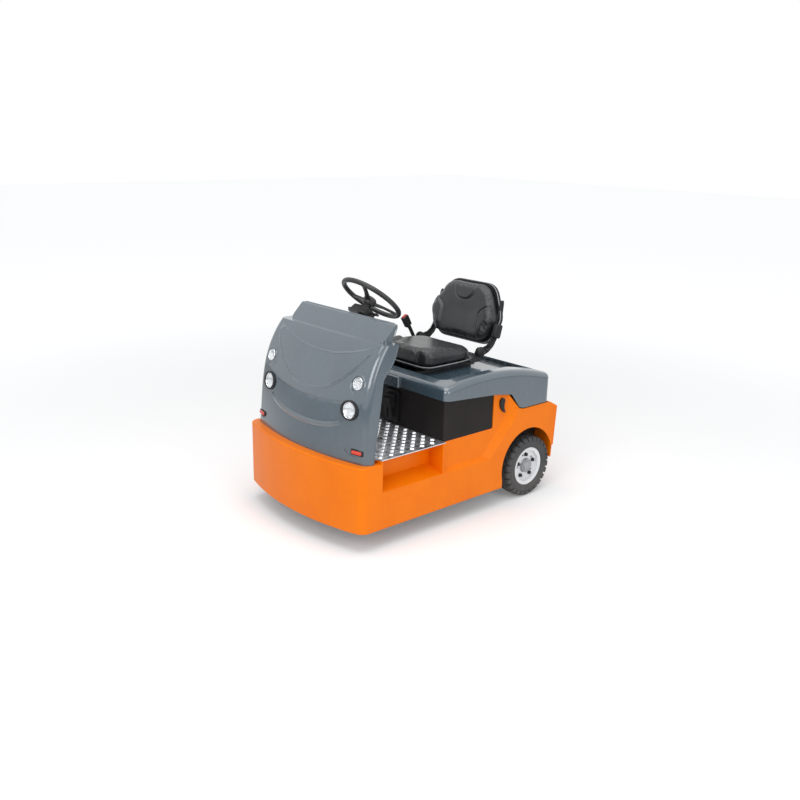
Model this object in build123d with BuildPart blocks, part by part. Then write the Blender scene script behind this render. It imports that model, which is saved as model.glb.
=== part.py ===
"""Three-wheeled electric tow tractor with a driver's seat on its tilting hood.

Millimetres. X points forward, Y to the driver's left, Z up from the floor.
The origin is on the floor, at the middle of the length and of the width.
"""
import math
import os

from build123d import *

os.makedirs("parts", exist_ok=True)

# Whole machine: the length follows from the wheelbase and what hangs over at each end
wheelbase = 1050.0
front_overhang = 354.0
rear_overhang = 226.0
hitch_reach = 70.0
body_width = 1060.0
overall_length = front_overhang + wheelbase + rear_overhang + hitch_reach
nose_x = overall_length / 2
tail_x = -overall_length / 2
side_y = body_width / 2
rear_face_x = tail_x + hitch_reach
rear_axle_x = rear_face_x + rear_overhang
front_axle_x = rear_axle_x + wheelbase
running_gap = 0.3
shaft_gap = 0.05

# Wheels: 15 inch tyre on an 8 inch rim
tyre_radius = 190.5
tyre_width = 112.0
tyre_inset = 5.0
rim_flange_radius = 118.0
rim_seat_radius = 102.0
rim_width = 92.0
rim_wall = 4.0
rim_bevel = 5.0
bead_inset = 8.0
rear_tyre_y = side_y - tyre_inset - tyre_width / 2
stub_radius = 22.0
disc_offset = 14.0
disc_wall = 8.0
hub_radius = 42.0
hub_reach = 24.0
hub_back = 8.0
wheel_bolt_circle = 70.0
wheel_bolt_hole = 8.0
wheel_bolts = 5
lug_count = 26
lug_gap = 11.0
lug_depth = 9.0
lug_inner_y = 16.0
lug_foot_radius = 163.0

# Orange body
plate = 8.0
skirt_z = 115.0
ledge_z = 483.0
deck_z = 500.0
nose_arc = 1650.0
nose_corner = 60.0
ledge_width = 75.0
ledge_round = 9.0
apron_length = 212.0
apron_rear_x = nose_x - apron_length
recess_depth = 25.0
pocket_depth = 110.0
pocket_length = 443.0
pocket_outer_z = 326.0
pocket_inner_z = 359.0
pocket_rear_x = apron_rear_x - pocket_length
arch_radius = 229.0
arch_x = rear_axle_x + 25.0
arch_z = 217.0
arch_front_x = rear_axle_x + 246.0
arch_floor_z = 290.0
post_front_x = rear_axle_x + 327.0
post_top_z = 703.0
post_slope_x = rear_axle_x + 204.0
post_slope_z = 681.0
notch_x = rear_axle_x + 130.0
notch_z = 590.0
fender_x = rear_axle_x + 88.0
fender_z = 579.0
rear_step = 72.0
rear_step_x = rear_face_x + rear_step
rear_top_z = 541.0
rear_bottom_z = 209.0
rear_undercut = 20.0

# Battery, in the middle under the seat, between the step pockets and the side posts
battery_setback = 22.0
battery_front_x = pocket_rear_x - battery_setback
battery_rear_x = post_front_x + 10.0
battery_length = battery_front_x - battery_rear_x
battery_middle_x = (battery_front_x + battery_rear_x) / 2
box_half = side_y - recess_depth
box_wall = 6.0
box_top_z = 745.0
battery_gap = 8.0
battery_side_gap = 35.0
battery_half = box_half - battery_side_gap
battery_floor_z = 193.0
battery_top_z = 735.0

# Driver's floor
floor_sheet = 5.0
floor_z = deck_z + floor_sheet
floor_edge = 4.0

# Hood
hood_inset = 3.0
hood_half = side_y - hood_inset
hood_wall = 5.0
hood_gap = 5.0
hood_overhang = 10.0
hood_front_x = battery_front_x + hood_overhang
hood_lip_z = 737.0
hood_front_z = 805.0
hood_crown_x = rear_axle_x + 392.0
hood_crown_z = 840.0
hood_rear_z = 757.0
hood_rear_x = rear_step_x + hood_gap
hood_round = 38.0
trough_z = 800.0
trough_half = 385.0
trough_front_inset = 85.0
trough_break_x = rear_axle_x + 140.0
trough_rear_z = 742.0
trough_rear_inset = 32.0
trough_side = 65.0
trough_angle = 30.0
visor_half = 150.0
visor_reach = 20.0
visor_round = 12.0


def nose_plan(inset, rear_x):
    """Plan of the body's nose in the sketch at hand: an arc between two round corners."""
    with Locations((nose_x - nose_arc, 0)):
        Circle(nose_arc - inset)
    with Locations(((nose_x + rear_x) / 2, 0)):
        Rectangle(nose_x - rear_x, body_width - 2 * inset, mode=Mode.INTERSECT)


# Front apron: the bent nose plate with a ledge that carries the cowl
with BuildPart() as front_apron:
    with BuildSketch(Plane.XY.offset(skirt_z)) as apron_outer:
        nose_plan(0, apron_rear_x)
        fillet(apron_outer.vertices().sort_by(Axis.X)[-2:], nose_corner)
    extrude(amount=ledge_z - skirt_z)
    top_rim = front_apron.faces().sort_by(Axis.Z)[-1].edges().sort_by(Axis.X)[1:]
    fillet(top_rim, ledge_round)
    with BuildSketch(Plane.XY.offset(skirt_z)) as apron_inner:
        nose_plan(plate, apron_rear_x - plate)
        fillet(apron_inner.vertices().sort_by(Axis.X)[-2:], nose_corner - plate)
    extrude(amount=ledge_z - plate - skirt_z, mode=Mode.SUBTRACT)
    with BuildSketch(Plane.XY.offset(skirt_z)) as apron_mouth:
        nose_plan(ledge_width, apron_rear_x - plate)
    extrude(amount=ledge_z - skirt_z, mode=Mode.SUBTRACT)
front_apron.part.label = "front_apron"
export_step(front_apron.part, "parts/front_apron.step")

# Side panels: one plate with a sunk tray, a step pocket and the rear wheel arch
side_outline = [
    (apron_rear_x, skirt_z),
    (apron_rear_x, deck_z),
    (post_front_x, deck_z),
    (post_front_x, post_top_z),
    (post_slope_x, post_slope_z),
    (notch_x, notch_z),
    (fender_x, fender_z),
    (rear_step_x, fender_z),
    (rear_face_x, rear_top_z),
    (rear_face_x + rear_undercut, rear_bottom_z),
    (rear_face_x + rear_undercut, skirt_z),
]
tray_top_z = post_top_z + 40.0
# Tray corners: x and z at the rim, x and z on the sunk floor
tray_corners = [
    (pocket_rear_x, 320.0, pocket_rear_x, 345.0),
    (rear_axle_x + 363.0, 320.0, rear_axle_x + 409.0, 345.0),
    (rear_axle_x + 159.0, 530.0, rear_axle_x + 236.0, 540.0),
    (notch_x, notch_z + 40.0, post_slope_x + 10.0, notch_z + 60.0),
    (post_slope_x, tray_top_z, post_slope_x + 20.0, tray_top_z),
    (pocket_rear_x, tray_top_z, pocket_rear_x, tray_top_z),
]
tray_rim = [(rim_x, rim_z) for rim_x, rim_z, floor_x, sunk_z in tray_corners]
tray_floor = [(floor_x, sunk_z) for rim_x, rim_z, floor_x, sunk_z in tray_corners]
with BuildPart() as side_panel_left:
    with BuildSketch(Plane.XZ.offset(-side_y)):
        with BuildLine():
            Polyline(*side_outline, close=True)
        make_face()
        with Locations((arch_x, arch_z)):
            Circle(arch_radius, mode=Mode.SUBTRACT)
        with Locations((arch_front_x, 0)):
            Rectangle(arch_front_x - tail_x, arch_z, align=(Align.MAX, Align.MIN), mode=Mode.SUBTRACT)
        with Locations((arch_x, 0)):
            Rectangle(arch_x - tail_x, arch_floor_z, align=(Align.MAX, Align.MIN), mode=Mode.SUBTRACT)
    extrude(amount=plate)
    with BuildSketch(Plane.XZ.offset(-side_y)):
        with BuildLine():
            Polyline(*tray_rim, close=True)
        make_face()
        with BuildLine():
            Polyline(*side_outline, close=True)
        make_face(mode=Mode.INTERSECT)
    extrude(amount=recess_depth + plate)
    with BuildSketch(Plane.XZ.offset(-side_y)):
        with BuildLine():
            Polyline(*tray_rim, close=True)
        make_face()
    with BuildSketch(Plane.XZ.offset(recess_depth - side_y)):
        with BuildLine():
            Polyline(*tray_floor, close=True)
        make_face()
    loft(ruled=True, mode=Mode.SUBTRACT)
    with BuildSketch(Plane.XZ.offset(-side_y)):
        with Locations((apron_rear_x, deck_z)):
            Rectangle(
                pocket_length + plate, deck_z - pocket_outer_z + plate, align=(Align.MAX, Align.MAX)
            )
    extrude(amount=pocket_depth + plate)
    with BuildSketch(Plane.YZ.offset(pocket_rear_x)):
        with BuildLine():
            Polyline(
                (side_y + plate, deck_z),
                (side_y - pocket_depth, deck_z),
                (side_y - pocket_depth, pocket_inner_z),
                (side_y, pocket_outer_z),
                (side_y + plate, pocket_outer_z),
                close=True,
            )
        make_face()
    extrude(amount=pocket_length - plate, mode=Mode.SUBTRACT)
side_panel_left.part.label = "side_panel_left"
export_step(side_panel_left.part, "parts/side_panel_left.step")

with BuildPart() as side_panel_right:
    mirror(side_panel_left.part, about=Plane.XZ)
side_panel_right.part.label = "side_panel_right"
export_step(side_panel_right.part, "parts/side_panel_right.step")

# Rear panel: a bent plate between the side panels, sloped on top
slope_length = math.hypot(rear_step, fender_z - rear_top_z)
flange_drop = plate * slope_length / rear_step
with BuildPart() as rear_panel:
    with BuildSketch(Plane.XZ.offset(plate - side_y)):
        with BuildLine():
            Polyline(
                (rear_face_x + rear_undercut, rear_bottom_z),
                (rear_face_x, rear_top_z),
                (rear_step_x, fender_z),
                (rear_step_x, fender_z - flange_drop),
                (rear_face_x + plate, rear_top_z - flange_drop),
                (rear_face_x + rear_undercut + plate, rear_bottom_z),
                close=True,
            )
        make_face()
    extrude(amount=body_width - 2 * plate)
rear_panel.part.label = "rear_panel"
export_step(rear_panel.part, "parts/rear_panel.step")

# Underframe: rails, wheel house, battery tray and the cheeks that hold the axle
rail_z = 125.0
rail_height = 60.0
rail_width = 60.0
web_y = side_y - pocket_depth - plate
wheelhouse_rear_x = pocket_rear_x + 4.0
wheelhouse_front_x = nose_x - 132.0
deck_plate = 12.0
tyre_clearance = 33.0
cheek_y = rear_tyre_y - tyre_width / 2 - tyre_clearance
cheek_plate = 14.0
cheek_top_z = 470.0
cheek_front_x = battery_rear_x
cheek_rear_x = rear_face_x + plate + 5.0
cheek_foot_x = rear_face_x + rear_undercut + plate
cheek_chamfer = 60.0
axle_tube_radius = 44.0
bearing_hole = 70.0
with BuildPart() as underframe:
    with BuildSketch(Plane.XY.offset(rail_z)):
        for side in (-1, 1):
            with Locations(((battery_rear_x + wheelhouse_front_x) / 2, side * (web_y - rail_width / 2))):
                Rectangle(wheelhouse_front_x - battery_rear_x, rail_width)
    extrude(amount=rail_height)
    with BuildSketch(Plane.XY.offset(rail_z)):
        for side in (-1, 1):
            with Locations(((wheelhouse_rear_x + wheelhouse_front_x) / 2, side * (web_y - plate / 2))):
                Rectangle(wheelhouse_front_x - wheelhouse_rear_x, plate)
        for wall_x in (wheelhouse_rear_x, wheelhouse_front_x - plate):
            with Locations((wall_x + plate / 2, 0)):
                Rectangle(plate, 2 * web_y)
    extrude(amount=deck_z - rail_z)
    with BuildSketch(Plane.XY.offset(deck_z - deck_plate)):
        with Locations(((wheelhouse_rear_x + wheelhouse_front_x) / 2, 0)):
            Rectangle(wheelhouse_front_x - wheelhouse_rear_x, 2 * web_y)
        with Locations((front_axle_x, 0)):
            Circle(bearing_hole, mode=Mode.SUBTRACT)
    extrude(amount=deck_plate)
    with BuildSketch(Plane.XY.offset(battery_floor_z - plate)):
        with Locations(((battery_rear_x + wheelhouse_rear_x) / 2, 0)):
            Rectangle(wheelhouse_rear_x - battery_rear_x, 2 * web_y)
    extrude(amount=plate)
    with BuildSketch(Plane.YZ.offset(battery_rear_x)):
        with Locations((0, rail_z)):
            Rectangle(2 * (box_half - plate), deck_z - rail_z, align=(Align.CENTER, Align.MIN))
    extrude(amount=-plate)
    with BuildSketch(Plane.XZ.offset(-cheek_y)):
        with BuildLine():
            Polyline(
                (cheek_front_x, rail_z),
                (cheek_front_x, cheek_top_z),
                (cheek_rear_x, cheek_top_z),
                (cheek_foot_x, rear_bottom_z),
                (cheek_foot_x + cheek_chamfer, rail_z),
                close=True,
            )
        make_face()
        with Locations((rear_axle_x, tyre_radius)):
            Circle(axle_tube_radius + running_gap, mode=Mode.SUBTRACT)
    extrude(amount=cheek_plate)
    mirror(about=Plane.XZ)
    with BuildSketch(Plane.XY.offset(cheek_top_z)):
        with Locations(((cheek_rear_x + cheek_front_x) / 2, 0)):
            Rectangle(cheek_front_x - cheek_rear_x, 2 * cheek_y)
    extrude(amount=-plate)
underframe.part.label = "underframe"
export_step(underframe.part, "parts/underframe.step")

# Floor plate: bright tread plate, wide at the step pockets and narrow under the cowl
floor_tongue = 45.0
floor_front_x = apron_rear_x + floor_tongue
floor_rear_x = battery_front_x + 1.0
with BuildPart() as floor_plate:
    with BuildSketch(Plane.XY.offset(deck_z)):
        with Locations(((floor_rear_x + apron_rear_x) / 2, 0)):
            Rectangle(apron_rear_x - floor_rear_x, body_width - 2 * floor_edge)
        with Locations(((apron_rear_x + floor_front_x) / 2, 0)):
            Rectangle(floor_tongue, 2 * web_y)
    extrude(amount=floor_sheet)
floor_plate.part.label = "floor_plate"
export_step(floor_plate.part, "parts/floor_plate.step")

# Battery box: a steel sleeve round the top of the battery
with BuildPart() as battery_box:
    with BuildSketch(Plane.XY.offset(deck_z)):
        with Locations((battery_middle_x, 0)):
            Rectangle(battery_length, 2 * box_half)
            Rectangle(battery_length - 2 * box_wall, 2 * (box_half - box_wall), mode=Mode.SUBTRACT)
    extrude(amount=box_top_z - deck_z)
battery_box.part.label = "battery_box"
export_step(battery_box.part, "parts/battery_box.step")

with BuildPart() as battery:
    with BuildSketch(Plane.XY.offset(battery_floor_z)):
        with Locations((battery_middle_x, 0)):
            Rectangle(battery_length - 2 * (box_wall + battery_gap), 2 * battery_half)
    extrude(amount=battery_top_z - battery_floor_z)
battery.part.label = "battery"
export_step(battery.part, "parts/battery.step")


# Hood: a moulded lid with round corners, raised shoulders and a trough for the seat
def hood_block(inset):
    """Solid filling the hood's outer form, moved inwards by inset."""
    rear = hood_rear_x + inset
    front = hood_front_x - inset
    half = hood_half - inset
    with BuildPart() as block:
        with BuildSketch(Plane.XZ.offset(-half)):
            with BuildLine():
                Line((front, fender_z), (rear, fender_z))
                Line((rear, fender_z), (rear, hood_rear_z - inset))
                ThreePointArc(
                    (rear, hood_rear_z - inset),
                    (hood_crown_x, hood_crown_z - inset),
                    (front, hood_front_z - inset),
                )
                Line((front, hood_front_z - inset), (front, fender_z))
            make_face()
        extrude(amount=2 * half)
        rims = block.edges().filter_by(Axis.Z) + block.faces().sort_by(Axis.Z)[-1].edges()
        fillet(rims, hood_round - inset)
        trough = [
            (front - trough_front_inset + inset, trough_z - inset),
            (trough_break_x, trough_z - inset),
            (rear + trough_rear_inset - 2 * inset, trough_rear_z - inset),
            (rear + trough_rear_inset - 2 * inset, hood_crown_z + hood_round),
            (front - trough_front_inset + inset, hood_crown_z + hood_round),
        ]
        with BuildSketch(Plane.XZ.offset(-trough_half - inset)):
            with BuildLine():
                Polyline(*trough, close=True)
            make_face()
        extrude(amount=2 * (trough_half + inset), mode=Mode.SUBTRACT)
        for side in (-1, 1):
            with BuildSketch(Plane(
                origin=(0, side * (trough_half + inset), 0), x_dir=(1, 0, 0), z_dir=(0, side, 0)
            )):
                with BuildLine():
                    Polyline(*[(x, -side * z) for x, z in trough], close=True)
                make_face()
            extrude(amount=trough_side, taper=trough_angle, mode=Mode.SUBTRACT)
    return block.part


hood_skirt = [
    (hood_front_x + visor_reach + hood_wall, fender_z - plate),
    (hood_front_x + visor_reach + hood_wall, hood_lip_z),
    (battery_front_x, hood_lip_z),
    (post_front_x, post_top_z + hood_gap),
    (post_slope_x - hood_gap, post_slope_z + hood_gap),
    (notch_x - hood_gap, notch_z + hood_gap),
    (fender_x, fender_z + hood_gap),
    (hood_rear_x - hood_wall, fender_z + hood_gap),
    (hood_rear_x - hood_wall, fender_z - plate),
]
with BuildPart() as hood:
    add(hood_block(0))
    with BuildSketch(Plane.XY.offset(hood_lip_z)):
        with Locations((hood_front_x - hood_round, 0)):
            Rectangle(hood_round + visor_reach, 2 * visor_half, align=(Align.MIN, Align.CENTER))
    extrude(amount=hood_front_z - hood_wall - hood_lip_z)
    visor_front = hood.faces().filter_by(Axis.X).sort_by(Axis.X)[-1]
    fillet(visor_front.edges().sort_by(Axis.Z)[1:], visor_round)
    add(hood_block(hood_wall), mode=Mode.SUBTRACT)
    with BuildSketch(Plane.XZ.offset(-side_y)):
        with BuildLine():
            Polyline(*hood_skirt, close=True)
        make_face()
    extrude(amount=body_width, mode=Mode.SUBTRACT)
hood.part.label = "hood"
export_step(hood.part, "parts/hood.step")

# Cowl: the moulded front with a console hump on top, open towards the driver
cowl_wall = 7.0
cowl_relief = 3.0
cowl_top_z = 1091.0
cowl_back_x = nose_x - 440.0
hump_front_x = nose_x - 305.0
hump_crest_x = nose_x - 392.0
hump_top_z = 1180.0
hump_half = side_y - 115.0
hump_corner = 30.0
hump_crest_round = 22.0
# Plans from foot to top: height, front x, half width, front arc, corner radius
cowl_plans = [
    (ledge_z, nose_x - 55.0, side_y - 23.0, 1780.0, 55.0),
    (756.0, nose_x - 105.0, side_y - 41.0, 3300.0, 48.0),
    (898.0, nose_x - 148.0, side_y - 50.0, 5600.0, 42.0),
    (cowl_top_z, nose_x - 270.0, side_y - 63.0, 60000.0, 35.0),
]


def cowl_block(inset):
    """Solid filling the cowl's outer form, moved inwards by inset."""
    with BuildPart() as hump:
        with BuildSketch(Plane.XZ.offset(inset - hump_half)) as profile:
            with BuildLine():
                Polyline(
                    (cowl_back_x, cowl_top_z - 2 * cowl_wall),
                    (hump_front_x - inset, cowl_top_z - 2 * cowl_wall),
                    (hump_front_x - inset, cowl_top_z - inset),
                    (hump_crest_x - inset / 2, hump_top_z - inset),
                    (cowl_back_x, hump_top_z - inset),
                    close=True,
                )
            make_face()
            crest = profile.vertices().sort_by(Axis.Y)[-2:].sort_by(Axis.X)[-1]
            fillet(crest, hump_crest_round - inset)
        extrude(amount=2 * (hump_half - inset))
        with BuildSketch(Plane.XY.offset(cowl_top_z - 3 * cowl_wall)) as plan:
            with Locations((cowl_back_x, 0)):
                Rectangle(
                    hump_front_x - inset - cowl_back_x,
                    2 * (hump_half - inset),
                    align=(Align.MIN, Align.CENTER),
                )
            fillet(plan.vertices().sort_by(Axis.X)[-2:], hump_corner - inset)
        extrude(amount=hump_top_z - cowl_top_z + 4 * cowl_wall, mode=Mode.INTERSECT)
    with BuildPart() as block:
        for height, front_x, half, arc, corner in cowl_plans:
            drop = inset if height == cowl_top_z else 0
            with BuildSketch(Plane.XY.offset(height - drop)) as plan:
                with Locations((front_x - arc, 0)):
                    Circle(arc - inset)
                with Locations(((front_x + cowl_back_x) / 2, 0)):
                    Rectangle(front_x - cowl_back_x, 2 * (half - inset), mode=Mode.INTERSECT)
                fillet(plan.vertices().sort_by(Axis.X)[-2:], corner - inset)
        loft()
        add(hump.part)
    return block.part


cowl_outer = cowl_block(0)
cowl_inner = cowl_block(cowl_wall)


def cowl_face(y, z):
    """Plane on the cowl's front face at y and z, its normal outwards."""
    hits = cowl_outer.find_intersection_points(Axis((cowl_back_x, y, z), (1, 0, 0)))
    point, normal = max(hits, key=lambda hit: hit[0].X)
    return Plane(origin=point, x_dir=Vector(0, 0, 1).cross(normal), z_dir=normal)


# Lamps on the cowl's face
headlamp_y = side_y - 163.0
headlamp_z = 756.0
bezel_long = 64.0
bezel_short = 53.0
bezel_proud = 7.0
bezel_depth = 45.0
headlamp_radius = 45.0
lamp_wall = 4.0
small_lamp_y = side_y - 137.0
small_lamp_z = 898.0
small_lamp_radius = 30.0
small_pocket_radius = 46.0
small_pocket_drop = 6.0
marker_y = side_y - 90.0
marker_z = 545.0
marker_length = 78.0
marker_height = 26.0
marker_taper = 8.0
eye_reach = 85.0
eye_height = 24.0
lamp_dome = 7.0
lens_flat = 0.6
headlamp_planes = [cowl_face(side * headlamp_y, headlamp_z) for side in (-1, 1)]
small_lamp_planes = [cowl_face(side * small_lamp_y, small_lamp_z) for side in (-1, 1)]
marker_planes = [cowl_face(side * marker_y, marker_z) for side in (-1, 1)]

# Rear edge of the cowl's sides as x and z, from the foot to the crest
cowl_edge = [
    (nose_x - 177.0, ledge_z),
    (nose_x - 237.0, 798.0),
    (nose_x - 256.0, 915.0),
    (nose_x - 305.0, 970.0),
    (nose_x - 345.0, 1022.0),
    (nose_x - 371.0, 1098.0),
    (nose_x - 380.0, 1140.0),
    (nose_x - 405.0, hump_top_z),
]

# Raised shield on the cowl's face: half widths and heights of its shoulders, knees and foot
shield_half = side_y - 100.0
shield_top_z = 1084.0
crescent_z = 997.0
knee_half = 190.0
knee_z = 856.0
flank_half = 325.0
flank_z = 955.0
shield_foot_z = 814.0
# Grooves below the shield: half length, height at the ends, height at the middle, width
cowl_grooves = [
    (side_y - 246.0, 788.0, 768.0, 6.0),
    (side_y - 205.0, 697.0, 647.0, 14.0),
]
cut_reach = nose_x - cowl_back_x
with BuildPart() as shield_prism:
    with BuildSketch(Plane.YZ.offset(cowl_back_x)):
        with BuildLine():
            ThreePointArc((-shield_half, shield_top_z), (0, crescent_z), (shield_half, shield_top_z))
            ThreePointArc((shield_half, shield_top_z), (flank_half, flank_z), (knee_half, knee_z))
            ThreePointArc((knee_half, knee_z), (0, shield_foot_z), (-knee_half, knee_z))
            ThreePointArc((-knee_half, knee_z), (-flank_half, flank_z), (-shield_half, shield_top_z))
        make_face()
    extrude(amount=cut_reach)
with BuildPart() as groove_tool:
    for half, end_z, middle_z, width in cowl_grooves:
        with BuildSketch(Plane.YZ.offset(cowl_back_x)):
            with BuildLine() as groove_line:
                ThreePointArc((-half, end_z), (0, middle_z), (half, end_z))
            trace(lines=groove_line.line, line_width=width)
        extrude(amount=cut_reach)
    for side in (-1, 1):
        with BuildSketch(Plane.YZ.offset(cowl_back_x)):
            with Locations((side * small_lamp_y, small_lamp_z - small_pocket_drop)):
                Circle(small_pocket_radius)
        extrude(amount=cut_reach)
        inner_end = side * (marker_y - eye_reach)
        outer_end = side * (marker_y + marker_length / 2)
        middle = (inner_end + outer_end) / 2
        with BuildSketch(Plane.YZ.offset(cowl_back_x)):
            with BuildLine():
                ThreePointArc((inner_end, marker_z), (middle, marker_z + eye_height), (outer_end, marker_z))
                ThreePointArc((outer_end, marker_z), (middle, marker_z - eye_height), (inner_end, marker_z))
            make_face()
        extrude(amount=cut_reach)
    add(cowl_block(cowl_relief), mode=Mode.SUBTRACT)
with BuildPart() as shield:
    add(cowl_block(-cowl_relief))
    add(shield_prism.part, mode=Mode.INTERSECT)
with BuildPart() as cowl:
    add(cowl_outer)
    add(shield.part)
    add(groove_tool.part, mode=Mode.SUBTRACT)
    add(cowl_inner, mode=Mode.SUBTRACT)
    with BuildSketch(Plane.XZ.offset(-side_y)):
        with BuildLine():
            Polyline(
                *cowl_edge,
                (cowl_edge[-1][0], hump_top_z + 2 * cowl_wall),
                (cowl_back_x - cowl_wall, hump_top_z + 2 * cowl_wall),
                (cowl_back_x - cowl_wall, ledge_z),
                close=True,
            )
        make_face()
    extrude(amount=body_width, mode=Mode.SUBTRACT)
    for lamp_plane in headlamp_planes:
        with BuildSketch(lamp_plane):
            Circle(headlamp_radius + lamp_wall + running_gap)
        extrude(amount=bezel_depth, both=True, mode=Mode.SUBTRACT)
    for lamp_plane in small_lamp_planes:
        with BuildSketch(lamp_plane):
            Circle(small_lamp_radius + lamp_wall + running_gap)
        extrude(amount=bezel_depth, both=True, mode=Mode.SUBTRACT)
    for lamp_plane in marker_planes:
        with BuildSketch(lamp_plane):
            SlotOverall(marker_length + 2 * running_gap, marker_height + 2 * running_gap)
        extrude(amount=bezel_depth, both=True, mode=Mode.SUBTRACT)
cowl.part.label = "cowl"
export_step(cowl.part, "parts/cowl.step")

# Steering column and wheel, square to one leaning axis
wheel_tilt = 40.0
wheel_x = nose_x - 569.0
wheel_z = 1240.0
wheel_rim = 180.0
wheel_grip = 13.0
wheel_dish = 42.0
wheel_hub = 32.0
wheel_hub_height = 34.0
hub_cap_round = 8.0
spoke_root = 6.0
spoke_width = 24.0
spoke_thick = 10.0
spoke_turns = (-65.0, 55.0, 175.0)
column_radius = 24.0
column_reach = 560.0
shroud_top = 30.0
shroud_foot = 78.0
shroud_width = 118.0
shroud_deep = 92.0
shroud_round = 20.0
shroud_flare = 30.0
lever_depth = 48.0
lever_radius = 5.0
lever_reach = 125.0
lever_paddle = 36.0
paddle_thick = 11.0
lean = math.radians(wheel_tilt)
wheel_plane = Plane(
    origin=(wheel_x, 0, wheel_z), x_dir=(0, 1, 0), z_dir=(-math.sin(lean), 0, math.cos(lean))
)
hub_plane = wheel_plane.offset(-wheel_dish)

# Dash panel: closes the cowl towards the driver, a little inside its edge
dash_sheet = 5.0
dash_inset = 14.0
dash_line = [(x + dash_inset, z) for x, z in cowl_edge[:-1]]
dash_line[0] = (dash_line[0][0], floor_z)
dash_crest = (cowl_edge[-1][0] + dash_inset, hump_top_z - cowl_wall)
with BuildPart() as dash_panel:
    with BuildSketch(Plane.XZ.offset(-side_y)):
        with BuildLine():
            Polyline(
                *dash_line,
                dash_crest,
                (dash_crest[0] + dash_sheet, dash_crest[1]),
                *[(x + dash_sheet, z) for x, z in reversed(dash_line)],
                close=True,
            )
        make_face()
    extrude(amount=body_width)
    add(cowl_inner, mode=Mode.INTERSECT)
    with BuildSketch(hub_plane):
        Circle(column_radius + running_gap)
    extrude(amount=-2 * column_reach, mode=Mode.SUBTRACT)
dash_panel.part.label = "dash_panel"
export_step(dash_panel.part, "parts/dash_panel.step")

with BuildPart() as steering_column:
    with BuildSketch(hub_plane.offset(-running_gap)):
        Circle(column_radius)
    extrude(amount=-column_reach)
    with BuildSketch(hub_plane.offset(-shroud_top)):
        RectangleRounded(shroud_width, shroud_deep, shroud_round)
    with BuildSketch(hub_plane.offset(-shroud_foot)):
        RectangleRounded(shroud_width + shroud_flare, shroud_deep + shroud_flare / 2, shroud_round)
    loft()
    for side in (-1, 1):
        lever_foot = hub_plane.origin - hub_plane.z_dir * lever_depth
        lever_plane = Plane(origin=lever_foot, x_dir=hub_plane.z_dir, z_dir=hub_plane.x_dir * side)
        with BuildSketch(lever_plane):
            Circle(lever_radius)
        extrude(amount=lever_reach)
        with BuildSketch(lever_plane.offset(lever_reach - lever_paddle)):
            RectangleRounded(paddle_thick, 2 * paddle_thick, paddle_thick / 3)
        extrude(amount=lever_paddle)
steering_column.part.label = "steering_column"
export_step(steering_column.part, "parts/steering_column.step")

rim_section = Plane(origin=wheel_plane.origin, x_dir=wheel_plane.x_dir, z_dir=-wheel_plane.y_dir)
with BuildPart() as steering_wheel:
    with BuildSketch(rim_section):
        with Locations((wheel_rim, 0)):
            Circle(wheel_grip)
    revolve(axis=Axis(wheel_plane.origin, wheel_plane.z_dir))
    with BuildSketch(hub_plane):
        Circle(wheel_hub)
    extrude(amount=wheel_hub_height)
    hub_top = steering_wheel.faces().filter_by(GeomType.PLANE).sort_by(Axis.Z)[-1]
    fillet(hub_top.edges(), hub_cap_round)
    for turn in spoke_turns:
        across = math.radians(turn)
        outwards = wheel_plane.x_dir * math.cos(across) + wheel_plane.y_dir * math.sin(across)
        start = hub_plane.origin + hub_plane.z_dir * wheel_hub_height / 2 + outwards * (wheel_hub - spoke_root)
        end = wheel_plane.origin + outwards * (wheel_rim - wheel_grip / 2)
        run = end - start
        with BuildSketch(Plane(origin=start, x_dir=wheel_plane.z_dir.cross(outwards), z_dir=run)):
            RectangleRounded(spoke_width, spoke_thick, spoke_thick / 3)
        extrude(amount=run.length)
steering_wheel.part.label = "steering_wheel"
export_step(steering_wheel.part, "parts/steering_wheel.step")

# Lamps: black oval bezels round domed lenses, small round lamps and slot markers
with BuildPart() as headlamp_bezels:
    for lamp_plane in headlamp_planes:
        with BuildSketch(lamp_plane.offset(running_gap)):
            Ellipse(bezel_long, bezel_short)
        extrude(amount=bezel_proud)
        bezel_face = headlamp_bezels.faces().sort_by(Axis(lamp_plane.origin, lamp_plane.z_dir))[-1]
        fillet(bezel_face.edges(), bezel_proud / 2)
        with BuildSketch(lamp_plane.offset(running_gap)):
            Circle(headlamp_radius + lamp_wall)
        extrude(amount=-bezel_depth)
        with BuildSketch(lamp_plane.offset(lamp_wall - bezel_depth)):
            Circle(headlamp_radius)
        extrude(amount=bezel_depth + bezel_proud, mode=Mode.SUBTRACT)
headlamp_bezels.part.label = "headlamp_bezels"
export_step(headlamp_bezels.part, "parts/headlamp_bezels.step")

with BuildPart() as headlamp_lenses:
    for lamp_plane in headlamp_planes:
        with BuildSketch(lamp_plane.offset(-lamp_wall)):
            Circle(headlamp_radius - running_gap)
        with BuildSketch(lamp_plane.offset(lamp_dome / 2)):
            Circle(headlamp_radius - running_gap)
        with BuildSketch(lamp_plane.offset(lamp_dome + lamp_wall)):
            Circle(headlamp_radius * lens_flat)
        loft(ruled=True)
headlamp_lenses.part.label = "headlamp_lenses"
export_step(headlamp_lenses.part, "parts/headlamp_lenses.step")

with BuildPart() as small_lamps:
    for lamp_plane in small_lamp_planes:
        with BuildSketch(lamp_plane.offset(-bezel_depth / 2)):
            Circle(small_lamp_radius + lamp_wall)
        extrude(amount=bezel_depth / 2 + lamp_wall)
        with BuildSketch(lamp_plane.offset(lamp_wall)):
            Circle(small_lamp_radius)
        extrude(amount=lamp_dome / 2, taper=45)
small_lamps.part.label = "small_lamps"
export_step(small_lamps.part, "parts/small_lamps.step")

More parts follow.
